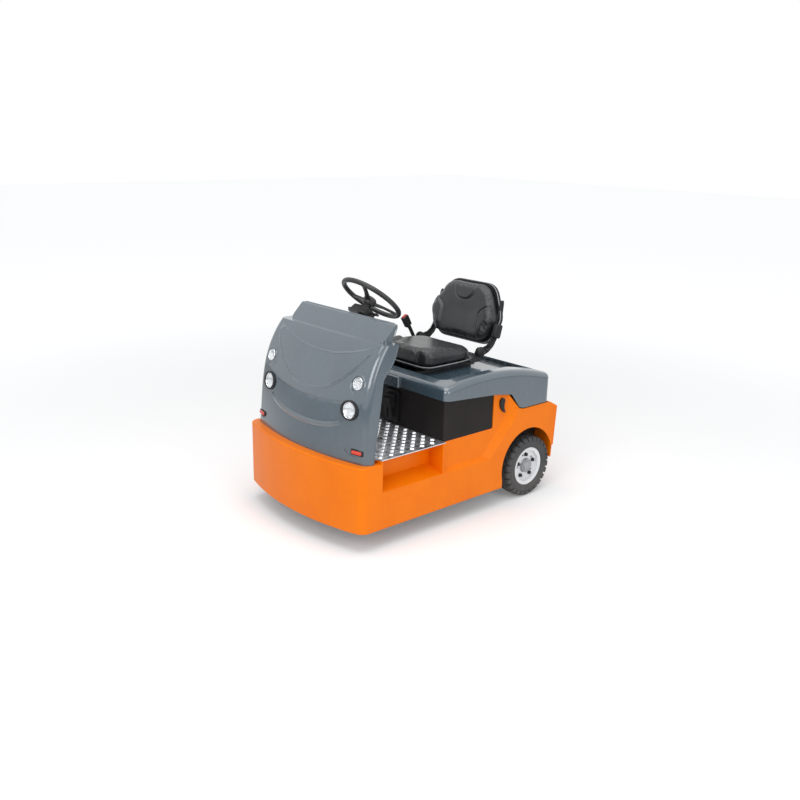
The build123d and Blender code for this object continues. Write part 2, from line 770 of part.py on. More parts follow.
with BuildPart() as marker_lamps:
    for lamp_plane in marker_planes:
        with BuildSketch(lamp_plane.offset(-2 * cowl_wall)):
            SlotOverall(marker_length, marker_height)
        extrude(amount=2 * cowl_wall + lamp_dome, taper=marker_taper)
marker_lamps.part.label = "marker_lamps"
export_step(marker_lamps.part, "parts/marker_lamps.step")

# Pedals: treads on bent arms that rise from foot plates on the floor
pedal_x = floor_front_x - 62.0
pedal_sheet = 8.0
pedal_foot = 60.0
pedal_rise = 88.0
pedal_tread = 74.0
pedal_lean = 24.0
# Pedals: middle y, tread width
pedal_table = [
    (-150.0, 70.0),
    (40.0, 95.0),
]
with BuildPart() as pedals:
    for pedal_y, pedal_width in pedal_table:
        with BuildSketch(Plane.XZ.offset(-pedal_y - pedal_width / 2)):
            with BuildLine():
                Polyline(
                    (pedal_x - pedal_foot, floor_z),
                    (pedal_x, floor_z),
                    (pedal_x, floor_z + pedal_sheet),
                    (pedal_x - pedal_foot, floor_z + pedal_sheet),
                    close=True,
                )
                Polyline(
                    (pedal_x - pedal_tread + pedal_lean, floor_z + pedal_sheet),
                    (pedal_x - pedal_tread + pedal_lean + pedal_sheet, floor_z + pedal_sheet),
                    (pedal_x + pedal_lean / 2, floor_z + pedal_rise - pedal_sheet),
                    (pedal_x + pedal_lean / 2 - pedal_sheet, floor_z + pedal_rise),
                    close=True,
                )
            make_face()
        extrude(amount=pedal_width)
        with BuildSketch(Plane.XZ.offset(-pedal_y - pedal_sheet)):
            with BuildLine():
                Polyline(
                    (pedal_x - pedal_sheet, floor_z + pedal_sheet / 2),
                    (pedal_x - pedal_sheet, floor_z + pedal_rise / 2 + pedal_sheet),
                    (pedal_x - pedal_foot + pedal_lean, floor_z + pedal_sheet / 2),
                    close=True,
                )
            make_face()
        extrude(amount=2 * pedal_sheet)
pedals.part.label = "pedals"
export_step(pedals.part, "parts/pedals.step")

# Battery connector: a back plate, the plug and its pull handle, on the front of the box
connector_y = 75.0
connector_plate = 12.0
connector_half = 55.0
connector_low_z = floor_z + 14.0
connector_high_z = floor_z + 205.0
plug_reach = 40.0
plug_width = 66.0
plug_height = 84.0
plug_z = floor_z + 140.0
plug_round = 6.0
cable_boss = 17.0
cable_drop = 62.0
handle_reach = 52.0
handle_bar = 8.0
with BuildPart() as battery_connector:
    with BuildSketch(Plane.YZ.offset(battery_front_x)):
        with Locations((connector_y, (connector_low_z + connector_high_z) / 2)):
            RectangleRounded(2 * connector_half, connector_high_z - connector_low_z, plug_round)
    extrude(amount=connector_plate)
    with BuildSketch(Plane.YZ.offset(battery_front_x + connector_plate)):
        with Locations((connector_y, plug_z)):
            RectangleRounded(plug_width, plug_height, plug_round)
    extrude(amount=plug_reach - connector_plate)
    with BuildSketch(Plane.XZ.offset(-connector_y - plug_width / 2)):
        with Locations((battery_front_x + connector_plate, plug_z)):
            Rectangle(handle_reach - connector_plate, plug_height / 2, align=(Align.MIN, Align.CENTER))
            Rectangle(
                handle_reach - connector_plate - handle_bar,
                plug_height / 2 - 2 * handle_bar,
                align=(Align.MIN, Align.CENTER),
                mode=Mode.SUBTRACT,
            )
    extrude(amount=plug_width)
    with BuildSketch(Plane.XY.offset(plug_z - plug_height / 2)):
        for side in (-1, 1):
            with Locations((battery_front_x + connector_plate + cable_boss, connector_y + side * cable_boss)):
                Circle(cable_boss / 2)
    extrude(amount=-cable_drop)
battery_connector.part.label = "battery_connector"
export_step(battery_connector.part, "parts/battery_connector.step")

# Finger pulls on the side posts: a comma in outline, a round head on a curved tail
pull_x = rear_axle_x + 260.0
pull_z = 652.0
pull_head = 20.0
pull_tail = 74.0
pull_sheet = 10.0
with BuildPart() as panel_pulls:
    with BuildSketch(Plane.XZ.offset(recess_depth - side_y)):
        with Locations((pull_x, pull_z)):
            Circle(pull_head)
        with BuildLine():
            Line((pull_x + pull_head, pull_z), (pull_x - pull_head, pull_z))
            ThreePointArc(
                (pull_x - pull_head, pull_z),
                (pull_x - pull_head * 0.8, pull_z - pull_tail * 0.55),
                (pull_x - pull_head * 1.5, pull_z - pull_tail),
            )
            ThreePointArc(
                (pull_x - pull_head * 1.5, pull_z - pull_tail),
                (pull_x + pull_head * 0.5, pull_z - pull_tail * 0.6),
                (pull_x + pull_head, pull_z),
            )
        make_face()
    extrude(amount=-pull_sheet)
    mirror(about=Plane.XZ)
panel_pulls.part.label = "panel_pulls"
export_step(panel_pulls.part, "parts/panel_pulls.step")

# Wheels, as name, x, y, outward side and whether the hub is open right through
wheel_table = [
    ("front", front_axle_x, 0.0, 1, True),
    ("rear_left", rear_axle_x, rear_tyre_y, 1, False),
    ("rear_right", rear_axle_x, -rear_tyre_y, -1, False),
]
fork_half = tyre_width / 2 + 14.0
hub_half = fork_half - 2.0
hub_cap_radius = 30.0
half_rim = rim_width / 2
half_tyre = tyre_width / 2
bead = half_rim - bead_inset
# Half of the tyre's section, from the bead to the tread: distance from its middle, radius
tyre_side = [
    (bead, rim_seat_radius + running_gap),
    (bead + 3.0, rim_flange_radius + 1.0),
    (half_rim + 3.0, rim_flange_radius + 3.0),
    (half_tyre - 1.5, tyre_radius - 56.0),
    (half_tyre, tyre_radius - 40.0),
    (half_tyre, tyre_radius - 22.0),
    (half_tyre - 7.0, tyre_radius - 5.0),
    (half_tyre - 24.0, tyre_radius - 1.0),
    (0.0, tyre_radius),
]
# Half of the rim's section: its outer face from the middle to the flange, then back inside
rim_side = [
    (bead, rim_seat_radius),
    (half_rim - 5.0, rim_flange_radius),
    (half_rim, rim_flange_radius),
    (half_rim, rim_flange_radius - 4.0),
    (half_rim - 4.0, rim_seat_radius - rim_wall),
]
for wheel, place_x, place_y, outwards, open_hub in wheel_table:
    centre = (place_x, place_y, tyre_radius)
    section = Plane(origin=centre, x_dir=(0, outwards, 0), z_dir=(1, 0, 0))
    facing = Plane(origin=centre, x_dir=(1, 0, 0), z_dir=(0, outwards, 0))
    axle_line = Axis(centre, (0, 1, 0))
    with BuildPart() as lug_slots:
        for turn in range(lug_count):
            spoke = math.radians(turn * 360 / lug_count)
            up = Vector(math.sin(spoke), 0, math.cos(spoke))
            along = Vector(0, 1, 0).cross(up)
            with BuildSketch(Plane(origin=centre, x_dir=(0, 1, 0), z_dir=along).offset(-lug_gap / 2)):
                for side in (-1, 1):
                    with BuildLine():
                        Polyline(
                            (side * lug_inner_y, tyre_radius + lug_depth),
                            (side * lug_inner_y, tyre_radius - lug_depth),
                            (side * (half_tyre - lug_depth), tyre_radius - 2 * lug_depth),
                            (side * (half_tyre + running_gap), lug_foot_radius),
                            (side * (half_tyre + lug_depth), lug_foot_radius),
                            (side * (half_tyre + lug_depth), tyre_radius + lug_depth),
                            close=True,
                        )
                    make_face()
            extrude(amount=lug_gap)
    with BuildPart() as tyre:
        with BuildSketch(section):
            with BuildLine():
                Polyline(*tyre_side, *[(-y, z) for y, z in reversed(tyre_side[:-1])], close=True)
            make_face()
        revolve(axis=axle_line)
        add(lug_slots.part, mode=Mode.SUBTRACT)
    tyre.part.label = wheel + "_tyre"
    export_step(tyre.part, "parts/" + tyre.part.label + ".step")

    with BuildPart() as rim:
        with BuildSketch(section):
            with BuildLine():
                Polyline(*rim_side, *[(-y, z) for y, z in reversed(rim_side)], close=True)
            make_face()
        revolve(axis=axle_line)
        with BuildSketch(facing.offset(disc_offset)):
            Circle(rim_seat_radius - rim_wall + 1)
            with PolarLocations(wheel_bolt_circle, wheel_bolts):
                Circle(wheel_bolt_hole, mode=Mode.SUBTRACT)
        extrude(amount=disc_wall)
        if open_hub:
            with BuildSketch(facing.offset(-hub_half)):
                Circle(hub_radius)
            extrude(amount=2 * hub_half)
            with BuildSketch(facing.offset(-hub_half)):
                Circle(stub_radius + shaft_gap)
            extrude(amount=2 * hub_half, mode=Mode.SUBTRACT)
        else:
            with BuildSketch(facing.offset(-hub_back)):
                Circle(hub_radius)
            extrude(amount=hub_back + disc_offset + hub_reach * 0.7)
            with BuildSketch(facing.offset(disc_offset + hub_reach * 0.7)):
                Circle(hub_cap_radius)
            extrude(amount=hub_reach * 0.3)
            with BuildSketch(facing.offset(-hub_back)):
                Circle(stub_radius + shaft_gap)
            extrude(amount=hub_back + disc_offset + hub_reach / 2, mode=Mode.SUBTRACT)
    rim.part.label = wheel + "_rim"
    export_step(rim.part, "parts/" + rim.part.label + ".step")

# Drive axle: tubes through the cheeks, brake drums, stubs and the middle housing
drum_radius = 84.0
drum_width = 34.0
drum_gap = 4.0
drum_y = rear_tyre_y - hub_back - drum_gap
housing_half = 115.0
housing_nose = 100.0
housing_deep = 160.0
with BuildPart() as drive_axle:
    with BuildSketch(Plane.XZ.offset(-drum_y)):
        with Locations((rear_axle_x, tyre_radius)):
            Circle(axle_tube_radius)
    extrude(amount=2 * drum_y)
    with BuildSketch(Plane.XZ.offset(-rear_tyre_y - disc_offset)):
        with Locations((rear_axle_x, tyre_radius)):
            Circle(stub_radius)
    extrude(amount=2 * (rear_tyre_y + disc_offset))
    for drum_start in (-drum_y, drum_y - drum_width):
        with BuildSketch(Plane.XZ.offset(drum_start)):
            with Locations((rear_axle_x, tyre_radius)):
                Circle(drum_radius)
        extrude(amount=drum_width)
    with BuildSketch(Plane.XZ.offset(-housing_half)):
        with Locations((rear_axle_x, tyre_radius)):
            Circle(housing_half)
            Rectangle(housing_nose, housing_deep, align=(Align.MIN, Align.CENTER))
    extrude(amount=2 * housing_half)
drive_axle.part.label = "drive_axle"
export_step(drive_axle.part, "parts/drive_axle.step")

motor_radius = 88.0
motor_lift = 10.0
motor_gap = 14.0
motor_front_x = cheek_front_x - plate - motor_gap
motor_rear_x = rear_axle_x + housing_half
with BuildPart() as drive_motor:
    with BuildSketch(Plane.YZ.offset(motor_rear_x)):
        with Locations((0, tyre_radius + motor_lift)):
            Circle(motor_radius)
    extrude(amount=motor_front_x - motor_rear_x)
drive_motor.part.label = "drive_motor"
export_step(drive_motor.part, "parts/drive_motor.step")

# Front steering: a ring under the deck and a fork that turns in it
ring_height = 18.0
ring_radius = 112.0
ring_lip = 4.0
fork_plate = 22.0
fork_leg = 14.0
fork_width = 90.0
fork_top_z = deck_z - deck_plate - ring_height - running_gap
with BuildPart() as steer_ring:
    with BuildSketch(Plane.XY.offset(deck_z - deck_plate - ring_height)):
        with Locations((front_axle_x, 0)):
            Circle(ring_radius)
            Circle(bearing_hole, mode=Mode.SUBTRACT)
    extrude(amount=ring_height)
steer_ring.part.label = "steer_ring"
export_step(steer_ring.part, "parts/steer_ring.step")

with BuildPart() as front_fork:
    with BuildSketch(Plane.XY.offset(fork_top_z)):
        with Locations((front_axle_x, 0)):
            Circle(ring_radius - ring_lip)
    extrude(amount=-fork_plate)
    with BuildSketch(Plane.XY.offset(fork_top_z)):
        with Locations((front_axle_x, 0)):
            Circle(bearing_hole - shaft_gap)
    extrude(amount=ring_height + deck_plate)
    with BuildSketch(Plane.XZ.offset(-fork_half - fork_leg)):
        with Locations((front_axle_x, tyre_radius)):
            Circle(fork_width / 2)
            Rectangle(fork_width, fork_top_z - tyre_radius, align=(Align.CENTER, Align.MIN))
    extrude(amount=fork_leg)
    mirror(about=Plane.XZ)
    with BuildSketch(Plane.XZ.offset(-fork_half)):
        with Locations((front_axle_x, tyre_radius)):
            Circle(stub_radius)
    extrude(amount=2 * fork_half)
front_fork.part.label = "front_fork"
export_step(front_fork.part, "parts/front_fork.step")

# Tow hitch: a jaw on the rear panel with a lifting pin
hitch_z = 330.0
jaw_half = 38.0
jaw_plate = 20.0
jaw_gap = 84.0
jaw_weld = 4.0
back_plate_half = 100.0
back_plate_lip = 20.0
back_plate_sheet = 14.0
hitch_pin_radius = 16.0
pin_point = 8.0
pin_collar = 12.0
pin_ring_radius = 24.0
pin_ring_bore = 14.0
hitch_pin_x = tail_x + jaw_half
panel_slope = rear_undercut / (rear_top_z - rear_bottom_z)


def panel_face_x(z):
    """The rear panel's outer face at height z, less a hair for what is bolted on."""
    return rear_face_x + (rear_top_z - z) * panel_slope - shaft_gap


jaw_bottom_z = hitch_z - jaw_gap / 2 - jaw_plate
jaw_top_z = hitch_z + jaw_gap / 2 + jaw_plate
plate_low_z = jaw_bottom_z - back_plate_lip
plate_high_z = jaw_top_z + back_plate_lip
with BuildPart() as tow_hitch:
    with BuildSketch(Plane.XZ.offset(-back_plate_half)):
        with BuildLine():
            Polyline(
                (panel_face_x(plate_low_z), plate_low_z),
                (panel_face_x(plate_high_z), plate_high_z),
                (panel_face_x(plate_high_z) - back_plate_sheet, plate_high_z),
                (panel_face_x(plate_low_z) - back_plate_sheet, plate_low_z),
                close=True,
            )
        make_face()
    extrude(amount=2 * back_plate_half)
    for lug_z in (jaw_bottom_z, jaw_top_z - jaw_plate):
        with BuildSketch(Plane.XY.offset(lug_z)):
            with Locations((hitch_pin_x, 0)):
                Circle(jaw_half)
                Rectangle(
                    panel_face_x(jaw_top_z) - hitch_pin_x - jaw_weld,
                    2 * jaw_half,
                    align=(Align.MIN, Align.CENTER),
                )
                Circle(hitch_pin_radius + shaft_gap, mode=Mode.SUBTRACT)
        extrude(amount=jaw_plate)
tow_hitch.part.label = "tow_hitch"
export_step(tow_hitch.part, "parts/tow_hitch.step")

with BuildPart() as hitch_pin:
    with BuildSketch(Plane.XY.offset(jaw_bottom_z - pin_point)):
        with Locations((hitch_pin_x, 0)):
            Circle(hitch_pin_radius)
    extrude(amount=jaw_top_z - jaw_bottom_z + pin_point)
    with BuildSketch(Plane.XY.offset(jaw_top_z)):
        with Locations((hitch_pin_x, 0)):
            Circle(1.5 * hitch_pin_radius)
    extrude(amount=pin_collar)
    with BuildSketch(Plane.XZ.offset(-pin_collar / 2)):
        with Locations((hitch_pin_x, jaw_top_z + pin_collar + (pin_ring_radius + pin_ring_bore) / 2)):
            Circle(pin_ring_radius)
            Circle(pin_ring_bore, mode=Mode.SUBTRACT)
    extrude(amount=pin_collar)
hitch_pin.part.label = "hitch_pin"
export_step(hitch_pin.part, "parts/hitch_pin.step")

# Tail lamps on the rear panel
tail_lamp_y = side_y - 100.0
tail_lamp_z = 470.0
tail_lamp_width = 120.0
tail_lamp_height = 60.0
tail_lamp_round = 12.0
tail_lamp_depth = 22.0
tail_lamp_edge = 4.0
with BuildPart() as tail_lamps:
    with BuildSketch(Plane(
        origin=(panel_face_x(tail_lamp_z), tail_lamp_y, tail_lamp_z),
        x_dir=(0, 1, 0),
        z_dir=(-1, 0, -panel_slope),
    )):
        RectangleRounded(tail_lamp_width, tail_lamp_height, tail_lamp_round)
    extrude(amount=tail_lamp_depth)
    fillet(tail_lamps.faces().sort_by(Axis.X)[0].edges(), tail_lamp_edge)
    mirror(about=Plane.XZ)
tail_lamps.part.label = "tail_lamps"
export_step(tail_lamps.part, "parts/tail_lamps.step")

# Hood hinges on the sloped rear flange: fixed knuckles with pins, and leaves on the hood
hinge_x = hood_rear_x - 10.0
hinge_z = fender_z + 14.0
hinge_radius = 8.0
hinge_pin = 4.0
hinge_width = 36.0
hinge_y = 300.0
hinge_neck = 3.0
hinge_foot = 28.0
hinge_sheet = 6.0
leaf_sheet = 4.0
leaf_height = 50.0
flange_slope = (fender_z - rear_top_z) / (rear_step_x - rear_face_x)
with BuildPart() as hinge_brackets:
    for side in (-1, 1):
        with BuildSketch(Plane.XZ.offset(-side * hinge_y - hinge_width / 2)):
            with Locations((hinge_x, hinge_z)):
                Circle(hinge_radius)
            with BuildLine():
                Polyline(
                    (hinge_x - hinge_radius, hinge_z),
                    (hinge_x + hinge_neck, hinge_z),
                    (hinge_x + hinge_neck, fender_z),
                    (rear_step_x, fender_z),
                    (rear_step_x - hinge_foot, fender_z - hinge_foot * flange_slope),
                    (rear_step_x - hinge_foot, fender_z - hinge_foot * flange_slope + hinge_sheet),
                    close=True,
                )
            make_face()
        extrude(amount=hinge_width)
        with BuildSketch(Plane.XZ.offset(-side * hinge_y - 1.5 * hinge_width)):
            with Locations((hinge_x, hinge_z)):
                Circle(hinge_pin)
        extrude(amount=3 * hinge_width)
hinge_brackets.part.label = "hinge_brackets"
export_step(hinge_brackets.part, "parts/hinge_brackets.step")

with BuildPart() as hinge_leaves:
    for side in (-1, 1):
        for place_y in (side * hinge_y + hinge_width + running_gap, side * hinge_y - hinge_width - running_gap):
            with BuildSketch(Plane.XZ.offset(-place_y - hinge_width / 2)):
                with Locations((hinge_x, hinge_z)):
                    Circle(hinge_radius)
                    Rectangle(
                        hood_rear_x - hinge_x, 2 * hinge_radius, align=(Align.MIN, Align.CENTER)
                    )
                with Locations((hood_rear_x, hinge_z - hinge_radius)):
                    Rectangle(leaf_sheet, leaf_height, align=(Align.MAX, Align.MIN))
                with Locations((hinge_x, hinge_z)):
                    Circle(hinge_pin + shaft_gap, mode=Mode.SUBTRACT)
            extrude(amount=hinge_width)
hinge_leaves.part.label = "hinge_leaves"
export_step(hinge_leaves.part, "parts/hinge_leaves.step")

# Seat: rails on the hood, a sliding frame, cushions, shell and belt
rail_y = 150.0
rail_front_x = rear_axle_x + 610.0
rail_rear_x = rear_axle_x + 150.0
seat_rail_width = 36.0
seat_rail_height = 12.0
runner_height = 16.0
runner_width = 46.0
pan_sheet = 14.0
pan_half = 215.0
pan_corner = 40.0
pan_front_x = rear_axle_x + 560.0
pan_rear_x = rear_axle_x + 185.0
with BuildPart() as seat_rails:
    with BuildSketch(Plane.XY.offset(trough_z)):
        for side in (-1, 1):
            with Locations(((rail_front_x + rail_rear_x) / 2, side * rail_y)):
                Rectangle(rail_front_x - rail_rear_x, seat_rail_width)
    extrude(amount=seat_rail_height)
seat_rails.part.label = "seat_rails"
export_step(seat_rails.part, "parts/seat_rails.step")

seat_base_z = trough_z + seat_rail_height + running_gap
pan_z = seat_base_z + runner_height
cushion_z = pan_z + pan_sheet
ear_y = 246.0
ear_sheet = 6.0
ear_radius = 26.0
ear_foot = 90.0
recline_x = rear_axle_x + 205.0
recline_z = cushion_z + 48.0
recline_pin = 8.0
recline_pin_length = 14.0
with BuildPart() as seat_frame:
    with BuildSketch(Plane.XY.offset(seat_base_z)):
        for side in (-1, 1):
            with Locations(((pan_front_x + pan_rear_x) / 2, side * rail_y)):
                Rectangle(pan_front_x - pan_rear_x, runner_width)
    extrude(amount=runner_height)
    with BuildSketch(Plane.XY.offset(pan_z)):
        with Locations(((pan_front_x + pan_rear_x) / 2, 0)):
            RectangleRounded(pan_front_x - pan_rear_x, 2 * pan_half, pan_corner)
        with Locations((recline_x + ear_foot / 2 - ear_radius, 0)):
            Rectangle(ear_foot, 2 * (ear_y + ear_sheet))
    extrude(amount=pan_sheet)
    with BuildSketch(Plane.XZ.offset(-ear_y - ear_sheet)):
        with Locations((recline_x, recline_z)):
            Circle(ear_radius)
        with BuildLine():
            Polyline(
                (recline_x - ear_radius, pan_z),
                (recline_x + ear_foot - ear_radius, pan_z),
                (recline_x + ear_radius - 4, recline_z + 12),
                (recline_x - ear_radius, recline_z),
                close=True,
            )
        make_face()
    extrude(amount=ear_sheet)
    mirror(about=Plane.XZ)
    for pin_start in (ear_y + ear_sheet, -ear_y - ear_sheet - recline_pin_length):
        with BuildSketch(Plane.XZ.offset(pin_start)):
            with Locations((recline_x, recline_z)):
                Circle(recline_pin)
        extrude(amount=recline_pin_length)
seat_frame.part.label = "seat_frame"
export_step(seat_frame.part, "parts/seat_frame.step")

cushion_half = 240.0
cushion_front_x = rear_axle_x + 618.0
cushion_rear_x = rear_axle_x + 215.0
cushion_front_top = 930.0
cushion_rear_top = 908.0
cushion_corner = 60.0
cushion_edge = 22.0
with BuildPart() as seat_cushion:
    with BuildSketch(Plane.XZ.offset(-cushion_half)):
        with BuildLine():
            Polyline(
                (cushion_rear_x, cushion_z + running_gap),
                (cushion_front_x, cushion_z + running_gap),
                (cushion_front_x, cushion_front_top),
                (cushion_rear_x, cushion_rear_top),
                close=True,
            )
        make_face()
    extrude(amount=2 * cushion_half)
    fillet(seat_cushion.edges().filter_by(Axis.Z), cushion_corner)
    fillet(seat_cushion.faces().sort_by(Axis.Z)[-1].edges(), cushion_edge)
seat_cushion.part.label = "seat_cushion"
export_step(seat_cushion.part, "parts/seat_cushion.step")

# Backrest, on a plane that leans back from its foot
back_lean = 13.9
back_foot_x = rear_axle_x + 150.0
back_foot_z = 930.0
back_height = 352.0
back_half = 245.0
back_top_half = 168.0
back_wide_height = 150.0
back_toe = 25.0
back_corner = 55.0
back_pad = 62.0
back_edge = 20.0
back_shell = 14.0
shell_margin = 4.0
back_tilt = math.radians(back_lean)
back_plane = Plane(
    origin=(back_foot_x, 0, back_foot_z), x_dir=(0, 1, 0), z_dir=(math.cos(back_tilt), 0, math.sin(back_tilt))
)


def back_outline(margin):
    """Outline of the backrest, widest low down and narrower at the top, with a margin outside it."""
    with BuildSketch(mode=Mode.PRIVATE) as outline:
        with BuildLine():
            Polyline(
                (back_toe - back_half - margin, -margin),
                (back_half - back_toe + margin, -margin),
                (back_half + margin, back_wide_height),
                (back_top_half + margin, back_height + margin),
                (-back_top_half - margin, back_height + margin),
                (-back_half - margin, back_wide_height),
                close=True,
            )
        make_face()
        fillet(outline.vertices(), back_corner + margin)
    return outline.sketch


with BuildPart() as backrest_cushion:
    with BuildSketch(back_plane.offset(-back_pad)):
        add(back_outline(0))
    extrude(amount=back_pad)
    pad_face = backrest_cushion.faces().sort_by(Axis(back_plane.origin, back_plane.z_dir))[-1]
    fillet(pad_face.edges(), back_edge)
backrest_cushion.part.label = "backrest_cushion"
export_step(backrest_cushion.part, "parts/backrest_cushion.step")

arm_y = ear_y + ear_sheet + running_gap
arm_sheet = 9.0
arm_foot_radius = 27.0
arm_half_width = 24.0
arm_bow = 95.0
arm_inner_bow = 45.0
arm_top_x = back_foot_x - 130.0
arm_top_z = back_foot_z + 230.0
cross_bar_height = 170.0
cross_bar_width = 60.0
cross_bar_sheet = 6.0
with BuildPart() as backrest_shell:
    with BuildSketch(back_plane.offset(-back_pad - running_gap)):
        add(back_outline(shell_margin))
    extrude(amount=-back_shell)
    with BuildSketch(Plane.XZ.offset(-arm_y - arm_sheet)):
        with Locations((recline_x, recline_z)):
            Circle(arm_foot_radius)
        with BuildLine():
            arm_front = (recline_x + arm_half_width, recline_z + arm_half_width / 2)
            arm_heel = (recline_x - 0.8 * arm_half_width, recline_z - 0.75 * arm_half_width)
            arm_rear_top = (arm_top_x - 1.25 * arm_half_width, arm_top_z)
            arm_front_top = (arm_top_x + 0.75 * arm_half_width, arm_top_z)
            Line(arm_front, arm_heel)
            ThreePointArc(arm_heel, (recline_x - arm_bow, recline_z + 40), arm_rear_top)
            Line(arm_rear_top, arm_front_top)
            ThreePointArc(arm_front_top, (recline_x - arm_inner_bow, recline_z + 90), arm_front)
        make_face()
        with Locations((recline_x, recline_z)):
            Circle(recline_pin + shaft_gap, mode=Mode.SUBTRACT)
    extrude(amount=arm_sheet)
    mirror(about=Plane.XZ)
    with BuildSketch(back_plane.offset(-back_pad - running_gap - back_shell)):
        with Locations((0, cross_bar_height)):
            Rectangle(2 * (arm_y + arm_sheet), cross_bar_width)
    extrude(amount=-cross_bar_sheet)
backrest_shell.part.label = "backrest_shell"
export_step(backrest_shell.part, "parts/backrest_shell.step")

# Lap belt: buckle on a stalk at the driver's right, retractor at the left
stalk_y = ear_y + ear_sheet + 14.0
stalk_foot_x = recline_x + 30.0
stalk_width = 22.0
stalk_lean = 74.0
stalk_rise = 130.0
buckle_width = 34.0
buckle_deep = 50.0
buckle_height = 72.0
buckle_round = 8.0
with BuildPart() as belt_buckle:
    with BuildSketch(Plane.XZ.offset(stalk_y)):
        with BuildLine():
            Polyline(
                (stalk_foot_x, pan_z),
                (stalk_foot_x + stalk_width, pan_z),
                (stalk_foot_x + stalk_width + 0.9 * stalk_lean, pan_z + stalk_rise),
                (stalk_foot_x + stalk_lean, pan_z + stalk_rise + buckle_round),
                close=True,
            )
        make_face()
    extrude(amount=ear_y + ear_sheet - stalk_y)
    with BuildSketch(Plane(
        origin=(stalk_foot_x + stalk_lean + buckle_round, (-stalk_y - ear_y - ear_sheet) / 2, pan_z + stalk_rise),
        x_dir=(0, 1, 0),
        z_dir=(0.5, 0, 1),
    )):
        RectangleRounded(buckle_width, buckle_deep, buckle_round)
    extrude(amount=buckle_height)
belt_buckle.part.label = "belt_buckle"
export_step(belt_buckle.part, "parts/belt_buckle.step")

retractor_radius = 30.0
retractor_width = 30.0
retractor_reach = 42.0
retractor_rise = 130.0
with BuildPart() as belt_retractor:
    with BuildSketch(Plane.XZ.offset(-arm_y - arm_sheet - running_gap - retractor_width)):
        with Locations((arm_top_x + retractor_reach, recline_z + retractor_rise)):
            RectangleRounded(2 * retractor_radius, 2 * retractor_radius, retractor_radius / 2)
    extrude(amount=retractor_width)
belt_retractor.part.label = "belt_retractor"
export_step(belt_retractor.part, "parts/belt_retractor.step")
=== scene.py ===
from math import atan2, copysign, cos, pi, radians, sin, sqrt

import bmesh
import bpy
from mathutils import Matrix, Vector
from mathutils.bvhtree import BVHTree


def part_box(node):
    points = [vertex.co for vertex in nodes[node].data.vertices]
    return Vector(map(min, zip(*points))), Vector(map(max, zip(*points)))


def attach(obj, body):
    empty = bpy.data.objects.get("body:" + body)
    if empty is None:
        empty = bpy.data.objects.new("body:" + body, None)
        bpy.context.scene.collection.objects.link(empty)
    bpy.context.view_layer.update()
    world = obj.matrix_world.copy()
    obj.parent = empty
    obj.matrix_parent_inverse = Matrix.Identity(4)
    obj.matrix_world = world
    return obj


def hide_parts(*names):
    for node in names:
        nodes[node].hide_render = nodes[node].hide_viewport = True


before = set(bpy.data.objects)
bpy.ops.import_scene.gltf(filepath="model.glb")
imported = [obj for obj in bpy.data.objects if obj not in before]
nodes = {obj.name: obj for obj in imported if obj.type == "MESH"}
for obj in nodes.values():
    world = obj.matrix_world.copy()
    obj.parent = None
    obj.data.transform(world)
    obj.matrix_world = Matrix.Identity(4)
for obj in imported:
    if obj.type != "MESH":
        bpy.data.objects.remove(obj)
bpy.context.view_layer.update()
scene = bpy.context.scene

# Camera
# It stands at the left front corner, above the driver's eye, and looks back over the nose.
camera_place = Vector((3.488, 3.851, 2.149))
camera_heading = radians(228.282)
camera_pitch = radians(-17.103)
camera_roll = radians(1.2116)
photo_width = 800
focal_pixels = 900
photo_centre = (399.106, 406.487)
camera_data = bpy.data.cameras.new("camera")
camera_data.lens = focal_pixels / photo_width * camera_data.sensor_width
camera_data.shift_x = (photo_width / 2 - photo_centre[0]) / photo_width
camera_data.shift_y = (photo_centre[1] - photo_width / 2) / photo_width
camera = bpy.data.objects.new("camera", camera_data)
camera.matrix_world = (
    Matrix.Translation(camera_place)
    @ Matrix.Rotation(camera_heading - pi / 2, 4, "Z")
    @ Matrix.Rotation(pi / 2 + camera_pitch, 4, "X")
    @ Matrix.Rotation(camera_roll, 4, "Z")
)
scene.collection.objects.link(camera)
scene.camera = camera
scene.view_settings.view_transform = "Standard"


def link_object(name, mesh, material=None):
    """A new object at the origin that shows this mesh."""
    piece = bpy.data.objects.new(name, mesh)
    if material:
        mesh.materials.append(material)
    scene.collection.objects.link(piece)
    return piece


# Studio floor and light
# A pale floor that keeps the shadow, a white surround, one broad lamp overhead and one at the front.
floor_half = 30.0
floor_shade = 0.93
glow_near, glow_far = 0.12, 0.47
glow_start, glow_end = 1.6, 7.0
surround_light = 0.55
lamp_table = [
    # name, place, aimed at, size, power
    ("overhead", (0.6, 0.4, 4.6), (0.0, 0.0, 0.5), 4.5, 108),
    ("front_left", (5.0, 2.6, 3.4), (0.3, 0.0, 0.6), 3.0, 88),
    ("side_left", (0.0, 5.4, 2.6), (0.0, 0.0, 0.6), 3.0, 52),
]


def node_tree(material):
    """The nodes and links of an emptied material, and its new output node."""
    material.use_nodes = True
    tree = material.node_tree
    tree.nodes.clear()
    output = tree.nodes.new("ShaderNodeOutputMaterial")
    return tree.nodes, tree.links, output


